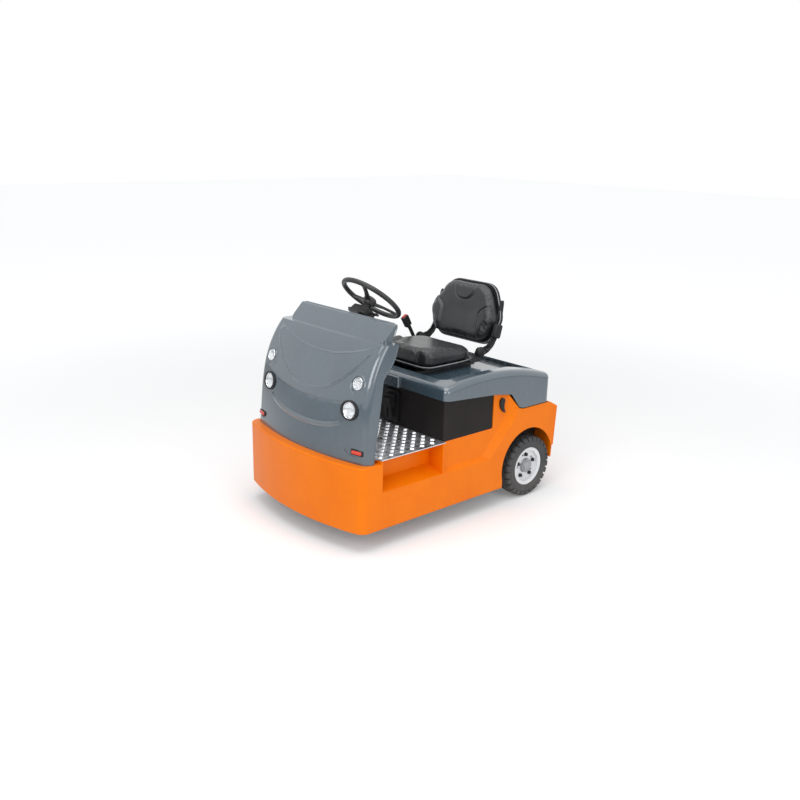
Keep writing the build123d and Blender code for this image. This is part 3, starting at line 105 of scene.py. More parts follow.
floor_material = bpy.data.materials.new("studio_floor")
parts, wires, output = node_tree(floor_material)
floor_diffuse = parts.new("ShaderNodeBsdfDiffuse")
floor_diffuse.inputs["Color"].default_value = (floor_shade, floor_shade, floor_shade, 1)
floor_emission = parts.new("ShaderNodeEmission")
floor_spot = parts.new("ShaderNodeTexCoord")
floor_distance = parts.new("ShaderNodeVectorMath")
floor_distance.operation = "LENGTH"
floor_glow = parts.new("ShaderNodeMapRange")
floor_glow.interpolation_type = "SMOOTHSTEP"
glow_range = {"From Min": glow_start, "From Max": glow_end, "To Min": glow_near, "To Max": glow_far}
for label, value in glow_range.items():
    floor_glow.inputs[label].default_value = value
floor_sum = parts.new("ShaderNodeAddShader")
floor_rays = parts.new("ShaderNodeLightPath")
floor_mix = parts.new("ShaderNodeMixShader")
wires.new(floor_spot.outputs["Object"], floor_distance.inputs[0])
wires.new(floor_distance.outputs["Value"], floor_glow.inputs["Value"])
wires.new(floor_glow.outputs["Result"], floor_emission.inputs["Strength"])
wires.new(floor_diffuse.outputs[0], floor_sum.inputs[0])
wires.new(floor_emission.outputs[0], floor_sum.inputs[1])
wires.new(floor_rays.outputs["Is Camera Ray"], floor_mix.inputs["Fac"])
wires.new(floor_diffuse.outputs[0], floor_mix.inputs[1])
wires.new(floor_sum.outputs[0], floor_mix.inputs[2])
wires.new(floor_mix.outputs[0], output.inputs["Surface"])
floor_mesh = bpy.data.meshes.new("studio_floor")
floor_mesh.from_pydata(
    [(x * floor_half, y * floor_half, 0) for x, y in ((-1, -1), (1, -1), (1, 1), (-1, 1))],
    [],
    [(0, 1, 2, 3)],
)
link_object("studio_floor", floor_mesh, floor_material)

scene.world = bpy.data.worlds.new("studio")
scene.world.use_nodes = True
parts, wires = scene.world.node_tree.nodes, scene.world.node_tree.links
parts.clear()
world_output = parts.new("ShaderNodeOutputWorld")
seen = parts.new("ShaderNodeBackground")
seen.inputs["Color"].default_value = (1, 1, 1, 1)
seen.inputs["Strength"].default_value = 1.0
lighting = parts.new("ShaderNodeBackground")
lighting.inputs["Color"].default_value = (0.97, 0.985, 1.0, 1)
lighting.inputs["Strength"].default_value = surround_light
world_rays = parts.new("ShaderNodeLightPath")
camera_or_glossy = parts.new("ShaderNodeMath")
camera_or_glossy.operation = "MAXIMUM"
any_seen = parts.new("ShaderNodeMath")
any_seen.operation = "MAXIMUM"
world_mix = parts.new("ShaderNodeMixShader")
wires.new(world_rays.outputs["Is Camera Ray"], camera_or_glossy.inputs[0])
wires.new(world_rays.outputs["Is Glossy Ray"], camera_or_glossy.inputs[1])
wires.new(camera_or_glossy.outputs[0], any_seen.inputs[0])
wires.new(world_rays.outputs["Is Transmission Ray"], any_seen.inputs[1])
wires.new(any_seen.outputs[0], world_mix.inputs["Fac"])
wires.new(lighting.outputs[0], world_mix.inputs[1])
wires.new(seen.outputs[0], world_mix.inputs[2])
wires.new(world_mix.outputs[0], world_output.inputs["Surface"])
for name, place, aim, size, power in lamp_table:
    lamp_data = bpy.data.lights.new(name, "AREA")
    lamp_data.size = size
    lamp_data.energy = power
    lamp = bpy.data.objects.new(name, lamp_data)
    direction = Vector(aim) - Vector(place)
    lamp.rotation_euler = direction.to_track_quat("-Z", "Y").to_euler()
    lamp.location = place
    scene.collection.objects.link(lamp)


# Orange body panels
# Folded steel sheet, powder coated orange with a fine orange-peel surface, and dusty near the floor.
def effect_group(name, inputs, outputs):
    """An empty node group with float inputs and their defaults, and the given outputs."""
    group = bpy.data.node_groups.new(name, "ShaderNodeTree")
    for label, value in inputs:
        socket = group.interface.new_socket(label, in_out="INPUT", socket_type="NodeSocketFloat")
        socket.default_value = value
    for label in outputs:
        group.interface.new_socket(label, in_out="OUTPUT", socket_type="NodeSocketFloat")
    return group, group.nodes.new("NodeGroupInput"), group.nodes.new("NodeGroupOutput")


def math_node(tree, operation, *values):
    """A Math node fed by the given sockets or numbers; its output socket comes back."""
    node = tree.nodes.new("ShaderNodeMath")
    node.operation = operation
    for place, value in enumerate(values):
        if isinstance(value, (int, float)):
            node.inputs[place].default_value = value
        else:
            tree.links.new(value, node.inputs[place])
    return node.outputs[0]


# Cloudy shade: two sizes of soft noise, 0 to 1, that vary a colour or a gloss over a surface.
cloud_group, given, made = effect_group("cloudy_shade", [("Scale", 6.0), ("Contrast", 1.0)], ["Shade"])
spot = cloud_group.nodes.new("ShaderNodeTexCoord")
broad = cloud_group.nodes.new("ShaderNodeTexNoise")
broad.inputs["Detail"].default_value = 3.0
fine = cloud_group.nodes.new("ShaderNodeTexNoise")
fine.inputs["Detail"].default_value = 2.0
cloud_group.links.new(spot.outputs["Object"], broad.inputs["Vector"])
cloud_group.links.new(spot.outputs["Object"], fine.inputs["Vector"])
cloud_group.links.new(given.outputs["Scale"], broad.inputs["Scale"])
cloud_group.links.new(math_node(cloud_group, "MULTIPLY", given.outputs["Scale"], 9.0), fine.inputs["Scale"])
both = math_node(cloud_group, "ADD", math_node(cloud_group, "MULTIPLY", broad.outputs["Fac"], 0.75),
                 math_node(cloud_group, "MULTIPLY", fine.outputs["Fac"], 0.25))
centred = math_node(cloud_group, "MULTIPLY", math_node(cloud_group, "SUBTRACT", both, 0.5),
                    given.outputs["Contrast"])
shade = cloud_group.nodes.new("ShaderNodeClamp")
cloud_group.links.new(math_node(cloud_group, "ADD", math_node(cloud_group, "MULTIPLY", centred, 3.0), 0.5),
                      shade.inputs["Value"])
cloud_group.links.new(shade.outputs[0], made.inputs["Shade"])

# Floor dust: a mask that fades out with height and is broken up by noise.
dust_group, given, made = effect_group("floor_dust", [("Height", 0.3), ("Amount", 0.3)], ["Mask"])
spot = dust_group.nodes.new("ShaderNodeTexCoord")
split = dust_group.nodes.new("ShaderNodeSeparateXYZ")
speckle = dust_group.nodes.new("ShaderNodeTexNoise")
speckle.inputs["Scale"].default_value = 14.0
speckle.inputs["Detail"].default_value = 6.0
dust_group.links.new(spot.outputs["Object"], split.inputs[0])
dust_group.links.new(spot.outputs["Object"], speckle.inputs["Vector"])
height_share = math_node(dust_group, "DIVIDE", split.outputs["Z"], given.outputs["Height"])
fade = dust_group.nodes.new("ShaderNodeClamp")
dust_group.links.new(math_node(dust_group, "SUBTRACT", 1.0, height_share), fade.inputs["Value"])
broken = math_node(dust_group, "MULTIPLY", fade.outputs[0], speckle.outputs["Fac"])
dust_group.links.new(math_node(dust_group, "MULTIPLY", broken, given.outputs["Amount"]), made.inputs["Mask"])


def place_group(tree, group, **values):
    """A node that runs a shared group with these input values."""
    node = tree.nodes.new("ShaderNodeGroup")
    node.node_tree = group
    for label, value in values.items():
        node.inputs[label].default_value = value
    return node


def mix_colours(tree, share, first, second):
    """The output of a colour mix; first and second are sockets or linear colours."""
    node = tree.nodes.new("ShaderNodeMix")
    node.data_type = "RGBA"
    tree.links.new(share, node.inputs["Factor"])
    for label, value in (("A", first), ("B", second)):
        socket = [s for s in node.inputs if s.name == label and s.type == "RGBA"][0]
        if isinstance(value, tuple):
            socket.default_value = (*value, 1)
        else:
            tree.links.new(value, socket)
    return [s for s in node.outputs if s.type == "RGBA"][0]


dust_colour = (0.30, 0.27, 0.23)


def surface(name, dark, light, gloss, cloud=5.0, grain=900.0, depth=0.0001, dust=0.0, dust_height=0.4,
            **shader_values):
    """A material whose colour and roughness drift between two values, with a fine grain and floor dust."""
    material = bpy.data.materials.new(name)
    parts, wires, output = node_tree(material)
    tree = material.node_tree
    shader = parts.new("ShaderNodeBsdfPrincipled")
    for label, value in shader_values.items():
        shader.inputs[label.replace("_", " ")].default_value = value
    wires.new(shader.outputs[0], output.inputs["Surface"])
    drift = place_group(tree, cloud_group, Scale=cloud)
    colour = mix_colours(tree, drift.outputs["Shade"], dark, light)
    if dust:
        dusty = place_group(tree, dust_group, Height=dust_height, Amount=dust)
        colour = mix_colours(tree, dusty.outputs["Mask"], colour, dust_colour)
    wires.new(colour, shader.inputs["Base Color"])
    spread = parts.new("ShaderNodeMapRange")
    spread.inputs["To Min"].default_value, spread.inputs["To Max"].default_value = gloss
    wires.new(drift.outputs["Shade"], spread.inputs["Value"])
    wires.new(spread.outputs[0], shader.inputs["Roughness"])
    spot = parts.new("ShaderNodeTexCoord")
    noise = parts.new("ShaderNodeTexNoise")
    noise.inputs["Scale"].default_value = grain
    bump = parts.new("ShaderNodeBump")
    bump.inputs["Strength"].default_value = 0.35
    bump.inputs["Distance"].default_value = depth
    wires.new(spot.outputs["Object"], noise.inputs["Vector"])
    wires.new(noise.outputs["Fac"], bump.inputs["Height"])
    wires.new(bump.outputs[0], shader.inputs["Normal"])
    return material


def coat_nodes(material, *names):
    """Puts one material on CAD nodes."""
    for name in names:
        mesh = nodes[name].data
        mesh.materials.clear()
        mesh.materials.append(material)


orange_paint = surface("orange_paint", (0.86, 0.180, 0.0005), (0.92, 0.210, 0.001), (0.30, 0.38),
                       grain=260.0, depth=0.0002, dust=0.05, dust_height=0.3, Coat_Weight=0.06,
                       Coat_Roughness=0.08, Specular_IOR_Level=0.14)
coat_nodes(orange_paint, "front_apron", "side_panel_left", "side_panel_right", "rear_panel")

# Underframe, axle and steering fork
# Welded rails and cross members in satin black, with a cast axle housing, motor and fork.
frame_paint = surface("frame_paint", (0.018, 0.018, 0.019), (0.032, 0.032, 0.033), (0.42, 0.6), dust=0.4,
                      dust_height=0.5)
casting_paint = surface("casting_paint", (0.045, 0.046, 0.05), (0.085, 0.086, 0.09), (0.5, 0.68),
                        grain=420.0, depth=0.0008, dust=0.4, dust_height=0.5, Metallic=0.3)
coat_nodes(frame_paint, "underframe", "drive_motor", "hinge_brackets", "hinge_leaves")
coat_nodes(casting_paint, "drive_axle", "steer_ring", "front_fork", "tow_hitch")

# Tyres
# Solid rubber tyres for an eight inch rim: a smooth band down the middle and blocks over both shoulders.
tyre_radius, tyre_half = 0.1905, 0.056
lug_count, lug_share, lug_depth, band_half = 26, 0.74, 0.009, 0.016
tyre_steps = 96
# Half of the carcass section, from the bead to the middle of the tread: radius, distance from the middle
carcass_side = [
    (0.1026, 0.038), (0.119, 0.0415), (0.1215, 0.049), (0.127, 0.0515), (0.129, 0.0535), (0.1315, 0.0535),
    (0.1335, 0.0522), (0.141, 0.0535), (0.150, 0.0542), (0.152, 0.0552), (0.154, 0.0552), (0.156, 0.0541),
    (0.166, 0.0515), (0.1735, 0.046), (0.1785, 0.038), (0.1813, band_half + 0.003), (0.1895, band_half),
    (tyre_radius, 0.012), (tyre_radius, 0.0),
]
# Outline of one shoulder block: radius, distance from the middle
lug_outline = [
    (0.1775, band_half + 0.001), (0.1900, band_half + 0.002), (0.1896, 0.033), (0.1862, 0.0475),
    (0.1800, 0.0540), (0.1720, 0.0558), (0.1655, 0.0550), (0.1630, 0.0520), (0.1660, 0.0480), (0.1740, 0.036),
]
lug_slices = 5


def finish_mesh(mesh, angle=35.0):
    """Merges doubles, turns faces outwards and shades smooth between edges flatter than the angle."""
    work = bmesh.new()
    work.from_mesh(mesh)
    bmesh.ops.remove_doubles(work, verts=work.verts, dist=0.00001)
    bmesh.ops.recalc_face_normals(work, faces=work.faces)
    work.to_mesh(mesh)
    work.free()
    mesh.shade_smooth()
    mesh.set_sharp_from_angle(angle=radians(angle))
    return mesh


def mesh_of(name, corners, faces, angle=35.0):
    """A finished mesh from corners and faces."""
    mesh = bpy.data.meshes.new(name)
    mesh.from_pydata([tuple(corner) for corner in corners], [], faces)
    return finish_mesh(mesh, angle)


def lathe(name, profile, steps, angle=35.0, closed=False):
    """A profile of radius and height, turned about Z."""
    corners, faces = [], []
    for step in range(steps):
        turn = 2 * pi * step / steps
        corners += [(radius * cos(turn), radius * sin(turn), height) for radius, height in profile]
    size = len(profile)
    for step in range(steps):
        here, there = step * size, (step + 1) % steps * size
        for place in range(size if closed else size - 1):
            beside = (place + 1) % size
            faces.append((here + place, here + beside, there + beside, there + place))
    return mesh_of(name, corners, faces, angle)


def moved(mesh, turn=Matrix(), place=(0, 0, 0)):
    """The mesh itself, turned and then put in its place."""
    mesh.transform(Matrix.Translation(place) @ turn)
    return mesh


def merged(mesh, *others):
    """The first mesh with the others added to it."""
    work = bmesh.new()
    for part in (mesh, *others):
        work.from_mesh(part)
    work.to_mesh(mesh)
    work.free()
    return mesh


def sleeve(name, rings, angle=35.0):
    """A closed form through rings of equal size, capped at both ends."""
    size = len(rings[0])
    faces = []
    for level in range(len(rings) - 1):
        for step in range(size):
            beside = (step + 1) % size
            faces.append((level * size + step, level * size + beside,
                          (level + 1) * size + beside, (level + 1) * size + step))
    faces += [tuple(range(size)), tuple(range((len(rings) - 1) * size, len(rings) * size))]
    return mesh_of(name, [point for ring in rings for point in ring], faces, angle)


def bevelled(mesh, offset, segments):
    """The mesh with its sharp edges rounded."""
    work = bmesh.new()
    work.from_mesh(mesh)
    rims = [edge for edge in work.edges if edge.calc_face_angle(0) > radians(50)]
    bmesh.ops.bevel(work, geom=rims, offset=offset, segments=segments, affect="EDGES", profile=0.5)
    work.to_mesh(mesh)
    work.free()
    return finish_mesh(mesh)


# One tree sets out every repeated piece: along a row, in rows, or round an axis.
repeat = bpy.data.node_groups.new("repeat_piece", "GeometryNodeTree")
repeat_inputs = [
    ("Geometry", "NodeSocketGeometry"), ("Piece", "NodeSocketObject"), ("Finish", "NodeSocketMaterial"),
    ("Count", "NodeSocketInt"), ("Row Length", "NodeSocketInt"), ("Start", "NodeSocketVector"),
    ("Step", "NodeSocketVector"), ("Row Step", "NodeSocketVector"), ("Tilt", "NodeSocketVector"),
    ("Turn", "NodeSocketVector"), ("Odd Turn", "NodeSocketVector"),
]
for label, kind in repeat_inputs:
    repeat.interface.new_socket(label, in_out="INPUT", socket_type=kind)
repeat.interface.new_socket("Geometry", in_out="OUTPUT", socket_type="NodeSocketGeometry")
given, made = repeat.nodes.new("NodeGroupInput"), repeat.nodes.new("NodeGroupOutput")


def scaled(vector, factor):
    """The output of a vector times a number."""
    node = repeat.nodes.new("ShaderNodeVectorMath")
    node.operation = "SCALE"
    repeat.links.new(vector, node.inputs[0])
    repeat.links.new(factor, node.inputs["Scale"])
    return node.outputs[0]


def added(*vectors):
    """The output of a sum of vectors."""
    total = vectors[0]
    for vector in vectors[1:]:
        node = repeat.nodes.new("ShaderNodeVectorMath")
        repeat.links.new(total, node.inputs[0])
        repeat.links.new(vector, node.inputs[1])
        total = node.outputs[0]
    return total


order = repeat.nodes.new("GeometryNodeInputIndex").outputs[0]
row = math_node(repeat, "FLOOR", math_node(repeat, "DIVIDE", math_node(repeat, "ADD", order, 0.5),
                                           given.outputs["Row Length"]))
column = math_node(repeat, "SUBTRACT", order, math_node(repeat, "MULTIPLY", row, given.outputs["Row Length"]))
odd = math_node(repeat, "MODULO", math_node(repeat, "ADD", column, row), 2.0)
dots = repeat.nodes.new("GeometryNodePoints")
repeat.links.new(given.outputs["Count"], dots.inputs["Count"])
repeat.links.new(added(given.outputs["Start"], scaled(given.outputs["Step"], column),
                       scaled(given.outputs["Row Step"], row)), dots.inputs["Position"])
template = repeat.nodes.new("GeometryNodeObjectInfo")
repeat.links.new(given.outputs["Piece"], template.inputs["Object"])
euler = repeat.nodes.new("FunctionNodeEulerToRotation")
repeat.links.new(added(given.outputs["Tilt"], scaled(given.outputs["Turn"], column),
                       scaled(given.outputs["Odd Turn"], odd)), euler.inputs[0])
stand = repeat.nodes.new("GeometryNodeInstanceOnPoints")
repeat.links.new(dots.outputs[0], stand.inputs["Points"])
repeat.links.new(template.outputs["Geometry"], stand.inputs["Instance"])
repeat.links.new(euler.outputs[0], stand.inputs["Rotation"])
both = repeat.nodes.new("GeometryNodeJoinGeometry")
real = repeat.nodes.new("GeometryNodeRealizeInstances")
finish = repeat.nodes.new("GeometryNodeSetMaterial")
repeat.links.new(stand.outputs[0], both.inputs[0])
repeat.links.new(given.outputs["Geometry"], both.inputs[0])
repeat.links.new(both.outputs[0], real.inputs[0])
repeat.links.new(real.outputs[0], finish.inputs["Geometry"])
repeat.links.new(given.outputs["Finish"], finish.inputs["Material"])
repeat.links.new(finish.outputs[0], made.inputs["Geometry"])


def set_out(name, piece_mesh, material, count, start, step=(0, 0, 0), row_length=100000, row_step=(0, 0, 0),
            tilt=(0, 0, 0), turn=(0, 0, 0), odd_turn=(0, 0, 0), base=None):
    """A new object with the piece repeated by the tree, and with the base mesh if there is one."""
    pattern = link_object(name + "_pattern", piece_mesh)
    holder = link_object(name, base or bpy.data.meshes.new(name))
    modifier = holder.modifiers.new("repeat", "NODES")
    modifier.node_group = repeat
    values = {"Piece": pattern, "Finish": material, "Count": count, "Row Length": row_length, "Start": start,
              "Step": step, "Row Step": row_step, "Tilt": tilt, "Turn": turn, "Odd Turn": odd_turn}
    for socket in repeat.interface.items_tree:
        if socket.in_out == "INPUT" and socket.name in values:
            modifier[socket.identifier] = values[socket.name]
    bpy.context.view_layer.update()
    evaluated = holder.evaluated_get(bpy.context.evaluated_depsgraph_get())
    mesh = bpy.data.meshes.new_from_object(evaluated)
    holder.modifiers.clear()
    holder.data = mesh
    bpy.data.objects.remove(pattern)
    return holder


def lug_mesh():
    """One shoulder block, bent round the wheel's axis, its middle at the top of the wheel."""
    reach = pi / lug_count * lug_share
    turns = [reach * (2 * part / (lug_slices - 1) - 1) for part in range(lug_slices)]
    rings = [[(radius * sin(turn), side, radius * cos(turn)) for radius, side in lug_outline] for turn in turns]
    return bevelled(sleeve("lug", rings), 0.0015, 2)


def tyre_mesh(name):
    """The carcass of a tyre about its wheel's middle, its axle along Y."""
    profile = carcass_side + [(radius, -side) for radius, side in reversed(carcass_side[:-1])]
    return moved(lathe(name, profile, tyre_steps, closed=True), Matrix.Rotation(pi / 2, 4, "X"))


tyre_rubber = surface("tyre_rubber", (0.030, 0.031, 0.034), (0.058, 0.060, 0.065), (0.55, 0.75), cloud=9.0,
                      grain=700.0, depth=0.0006, dust=0.3, dust_height=0.4)
wheel_table = [
    # body, middle x, middle y, side that faces out
    ("front_wheel", 0.496, 0.0, 1),
    ("rear_left_wheel", -0.554, 0.469, 1),
    ("rear_right_wheel", -0.554, -0.469, -1),
]
for body, wheel_x, wheel_y, side in wheel_table:
    lug = lug_mesh()
    pair = merged(lug, moved(lug.copy(), Matrix.Rotation(pi, 4, "Z")))
    tyre = set_out(body + "_tyre", pair, tyre_rubber, lug_count, (0, 0, 0),
                   turn=(0, 2 * pi / lug_count, 0), base=tyre_mesh(body + "_carcass"))
    moved(tyre.data, place=(wheel_x, wheel_y, tyre_radius))
    tyre.data.shade_smooth()
    tyre.data.set_sharp_from_angle(angle=radians(35))
    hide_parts(body.replace("_wheel", "_tyre"))
    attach(tyre, body)

# Rims
# Pressed steel discs in white enamel, each held by five bolts, with a curved dish between rim and disc; the bolts
# are real, but their dark colour is painted shade standing in for the shadowed bolt holes.
rim_paint = surface("rim_paint", (0.74, 0.76, 0.78), (0.84, 0.86, 0.87), (0.24, 0.34), dust=0.18,
                    dust_height=0.35, Coat_Weight=0.4)
bolt_circle, bolt_count, disc_face = 0.070, 5, 0.022
# Dark steel: on the wheel bolts its darkness is painted shade for the shadowed bolt holes; on the belt tongue it
# is plain dark steel.
dark_steel_and_hole_shade = surface("dark_steel_and_hole_shade", (0.035, 0.035, 0.038), (0.07, 0.07, 0.075), (0.3, 0.5), Metallic=0.9)
hub_steel = surface("hub_steel", (0.30, 0.31, 0.33), (0.42, 0.43, 0.45), (0.3, 0.45), Metallic=0.6)
# Profiles as radius and distance out from the wheel's middle
dish_profile = [(0.0885, 0.0222), (0.092, 0.0226), (0.095, 0.0245), (0.0972, 0.029), (0.0985, 0.036),
                (0.1005, 0.0405), (0.1045, 0.0435), (0.1090, 0.0450), (0.1125, 0.0462), (0.1165, 0.0468),
                (0.1188, 0.0455), (0.1195, 0.0425), (0.1180, 0.0405), (0.108, 0.040), (0.098, 0.034),
                (0.093, 0.0215)]
hub_profile = [(0.0, 0.0475), (0.012, 0.0475), (0.0135, 0.0462), (0.0285, 0.0462), (0.0305, 0.0445),
               (0.0308, 0.0395), (0.0418, 0.0392), (0.0426, 0.038), (0.0426, 0.024), (0.046, 0.0221),
               (0.046, 0.020), (0.0, 0.020)]


def bolt_mesh(name, across, height, washer):
    """A hexagon head with rounded edges on a washer, standing on the plane z = 0."""
    washer_part = lathe(name, [(0.0, 0.0), (washer, 0.0), (washer, height * 0.2),
                               (washer * 0.96, height * 0.25), (0.0, height * 0.25)], 20)
    corner = across / sqrt(3)
    head = bmesh.new()
    bmesh.ops.create_cone(head, cap_ends=True, segments=6, radius1=corner, radius2=corner, depth=height)
    bmesh.ops.translate(head, verts=head.verts, vec=(0, 0, height * 0.7))
    bmesh.ops.bevel(head, geom=[edge for edge in head.edges if edge.verts[0].co.z > height
                                and edge.verts[1].co.z > height],
                    offset=height * 0.12, segments=2, affect="EDGES", profile=0.5)
    head.from_mesh(washer_part)
    head.to_mesh(washer_part)
    head.free()
    return finish_mesh(washer_part)


for body, wheel_x, wheel_y, side in wheel_table:
    coat_nodes(rim_paint, body.replace("_wheel", "_rim"))
    if not wheel_y:
        continue
    outward = Matrix.Rotation(-side * pi / 2, 4, "X")
    centre = (wheel_x, wheel_y, tyre_radius)
    dish = link_object(body + "_dish", moved(lathe("dish", dish_profile, 72, closed=True), outward, centre),
                       rim_paint)
    hub = link_object(body + "_hub_cap", moved(lathe("hub", hub_profile, 40), outward, centre), hub_steel)
    # The bolt heads are coloured dark as painted shade for the bolt holes behind them, not in their own zinc
    # steel.
    bolt = moved(bolt_mesh("wheel_bolt", 0.019, 0.011, 0.0125), Matrix.Rotation(-pi / 2, 4, "X"),
                 (0, disc_face, bolt_circle))
    bolts = set_out(body + "_bolts", bolt, dark_steel_and_hole_shade, bolt_count, centre,
                    tilt=(0, 0, 0 if side > 0 else pi), turn=(0, 2 * pi / bolt_count, 0))
    for piece, slot in ((dish, "rim_white"), (hub, "cast_grey"), (bolts, "zinc_steel")):
        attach(piece, body)

# Floor plate
# Bright aluminium tread plate: a checkerboard of five short raised bars each way.
bright_aluminium = surface("bright_aluminium", (0.62, 0.64, 0.67), (0.86, 0.87, 0.89), (0.2, 0.38),
                           cloud=22.0, Metallic=0.92)
coat_nodes(bright_aluminium, "floor_plate")
plate_low, plate_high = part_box("floor_plate")
bar_length, bar_width, bar_height, bar_pitch, cell = 0.027, 0.0042, 0.0016, 0.0068, 0.0375
bars_per_cell = 5


def bar_cell():
    """Five parallel bars with domed tops and pointed ends, about the middle of their cell."""
    corners, faces = [], []
    sections = [(-1.0, 0.0), (-0.78, 0.75), (-0.4, 1.0), (0.4, 1.0), (0.78, 0.75), (1.0, 0.0)]
    across = [(-1.0, 0.0), (-0.55, 0.8), (0.0, 1.0), (0.55, 0.8), (1.0, 0.0)]
    for bar in range(bars_per_cell):
        middle = (bar - (bars_per_cell - 1) / 2) * bar_pitch
        first = len(corners)
        for along, swell in sections:
            for wide, high in across:
                corners.append((along * bar_length / 2, middle + wide * bar_width / 2 * max(swell, 0.25),
                                high * swell * bar_height))
        for part in range(len(sections) - 1):
            for place in range(len(across) - 1):
                here = first + part * len(across) + place
                faces.append((here, here + len(across), here + len(across) + 1, here + 1))
        floor_ring = [first + part * len(across) for part in range(len(sections))]
        floor_ring += [first + (part + 1) * len(across) - 1 for part in reversed(range(len(sections)))]
        faces.append(tuple(reversed(floor_ring)))
    return mesh_of("bar_cell", corners, faces, 60.0)


cells_long = int((plate_high.x - plate_low.x - 0.008) / cell)
cells_wide = int((plate_high.y - plate_low.y - 0.008) / cell)
first_x = (plate_low.x + plate_high.x - (cells_long - 1) * cell) / 2
first_y = (plate_low.y + plate_high.y - (cells_wide - 1) * cell) / 2
tread_bars = set_out("floor_tread_bars", bar_cell(), bright_aluminium, cells_long * cells_wide,
                     (first_x, first_y, plate_high.z - 0.0001), step=(cell, 0, 0), row_length=cells_long,
                     row_step=(0, cell, 0), tilt=(0, 0, pi / 4), odd_turn=(0, 0, pi / 2))
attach(tread_bars, "chassis")

# Battery box
# Sheet steel in textured black enamel; the connector and pulls are black moulded plastic.
box_paint = surface("box_paint", (0.013, 0.0105, 0.010), (0.020, 0.017, 0.016), (0.34, 0.48), grain=380.0,
                    depth=0.0003, Specular_IOR_Level=0.16)
coat_nodes(box_paint, "battery_box", "battery")
black_moulding = surface("black_moulding", (0.010, 0.010, 0.011), (0.019, 0.019, 0.021), (0.34, 0.5),
                         grain=1200.0, depth=0.0002, Specular_IOR_Level=0.3)
coat_nodes(black_moulding, "battery_connector", "panel_pulls", "dash_panel", "steering_column", "pedals",
           "headlamp_bezels", "backrest_shell")

# Grey mouldings
# Cowl and hood in glossy blue-grey glass fibre, with the sheen of a sprayed finish.
grey_moulding = surface("grey_moulding", (0.046, 0.074, 0.098), (0.058, 0.092, 0.120), (0.22, 0.30),
                        cloud=3.0, grain=300.0, Coat_Weight=0.9, Coat_Roughness=0.06, Coat_IOR=1.9)
coat_nodes(grey_moulding, "cowl", "hood")

# Seat frame
# The pan and its two runners in satin black; the backrest turns about the recliner's pivot.
coat_nodes(frame_paint, "seat_rails", "seat_frame")
pivot_x, pivot_z = -0.349, 0.8903

# Seat cushion and backrest cushion
# Moulded foam under black vinyl, sewn as a middle panel between two bolsters; the back has a U at its top.
seat_vinyl = surface("seat_vinyl", (0.016, 0.018, 0.019), (0.030, 0.034, 0.036), (0.26, 0.38), cloud=7.0,
                     grain=620.0, depth=0.0005, Coat_Weight=0.12, Coat_Roughness=0.3)
voxel, cloth_frames, pressure = 0.0058, 20, 4.0
seam_width, seam_depth = 0.0034, 0.0048
back_foot, back_lean = Vector((-0.404, 0.0, 0.930)), radians(13.9)
back_out = Vector((cos(back_lean), 0, sin(back_lean)))
back_up = Vector((-sin(back_lean), 0, cos(back_lean)))
back_corners = [(0.216, 0.0), (0.272, 0.150), (0.256, 0.208), (0.174, 0.352)]
back_levels = [(0.026, -0.060), (0.006, -0.057), (0.0, -0.046), (0.0, -0.026), (0.006, -0.010),
               (0.022, -0.003), (0.05, 0.0)]
seat_corners = [(0.222, -0.339), (0.240, -0.20), (0.240, 0.064)]
seat_levels = [(0.022, 0.0455), (0.006, 0.049), (0.0, 0.060), (0.0, 0.083), (0.008, 0.098), (0.026, 0.106),
               (0.05, 0.109)]
hood_top, face_height, seat_slope = 0.8, 0.08, 0.052
corner_round, corner_steps, flat_middle, puff_limit = 0.075, 8, 0.08, 0.010


def smooth_step(value, low, high):
    """0 below low, 1 above high, smooth between."""
    share = min(max((value - low) / (high - low), 0.0), 1.0)
    return share * share * (3 - 2 * share)


def rounded_outline(corners, inset):
    """Points round a shape that is the same on both sides, its corners rounded; corners are half of it."""
    ring = [Vector(corner) for corner in corners] + [Vector((-a, b)) for a, b in reversed(corners)]
    count = len(ring)
    middle_b = sum(point.y for point in ring) / count
    for point in ring:
        point.x -= inset * (1 if point.x > 0 else -1)
        if abs(point.y - middle_b) > flat_middle:
            point.y -= inset * (1 if point.y > middle_b else -1)
    outline = []
    for place, corner in enumerate(ring):
        before, after = ring[place - 1] - corner, ring[(place + 1) % count] - corner
        reach = min(corner_round, before.length * 0.46, after.length * 0.46)
        start, end = corner + before.normalized() * reach, corner + after.normalized() * reach
        for step in range(corner_steps + 1):
            share = step / corner_steps
            outline.append(start.lerp(corner, share).lerp(corner.lerp(end, share), share))
    return outline


def stacked(name, corners, levels, place):
    """A closed form of one outline at several insets and heights, put in place by the given function."""
    rings = [[place(point.x, point.y, height) for point in rounded_outline(corners, inset)]
             for inset, height in levels]
    return sleeve(name, rings, 40.0)


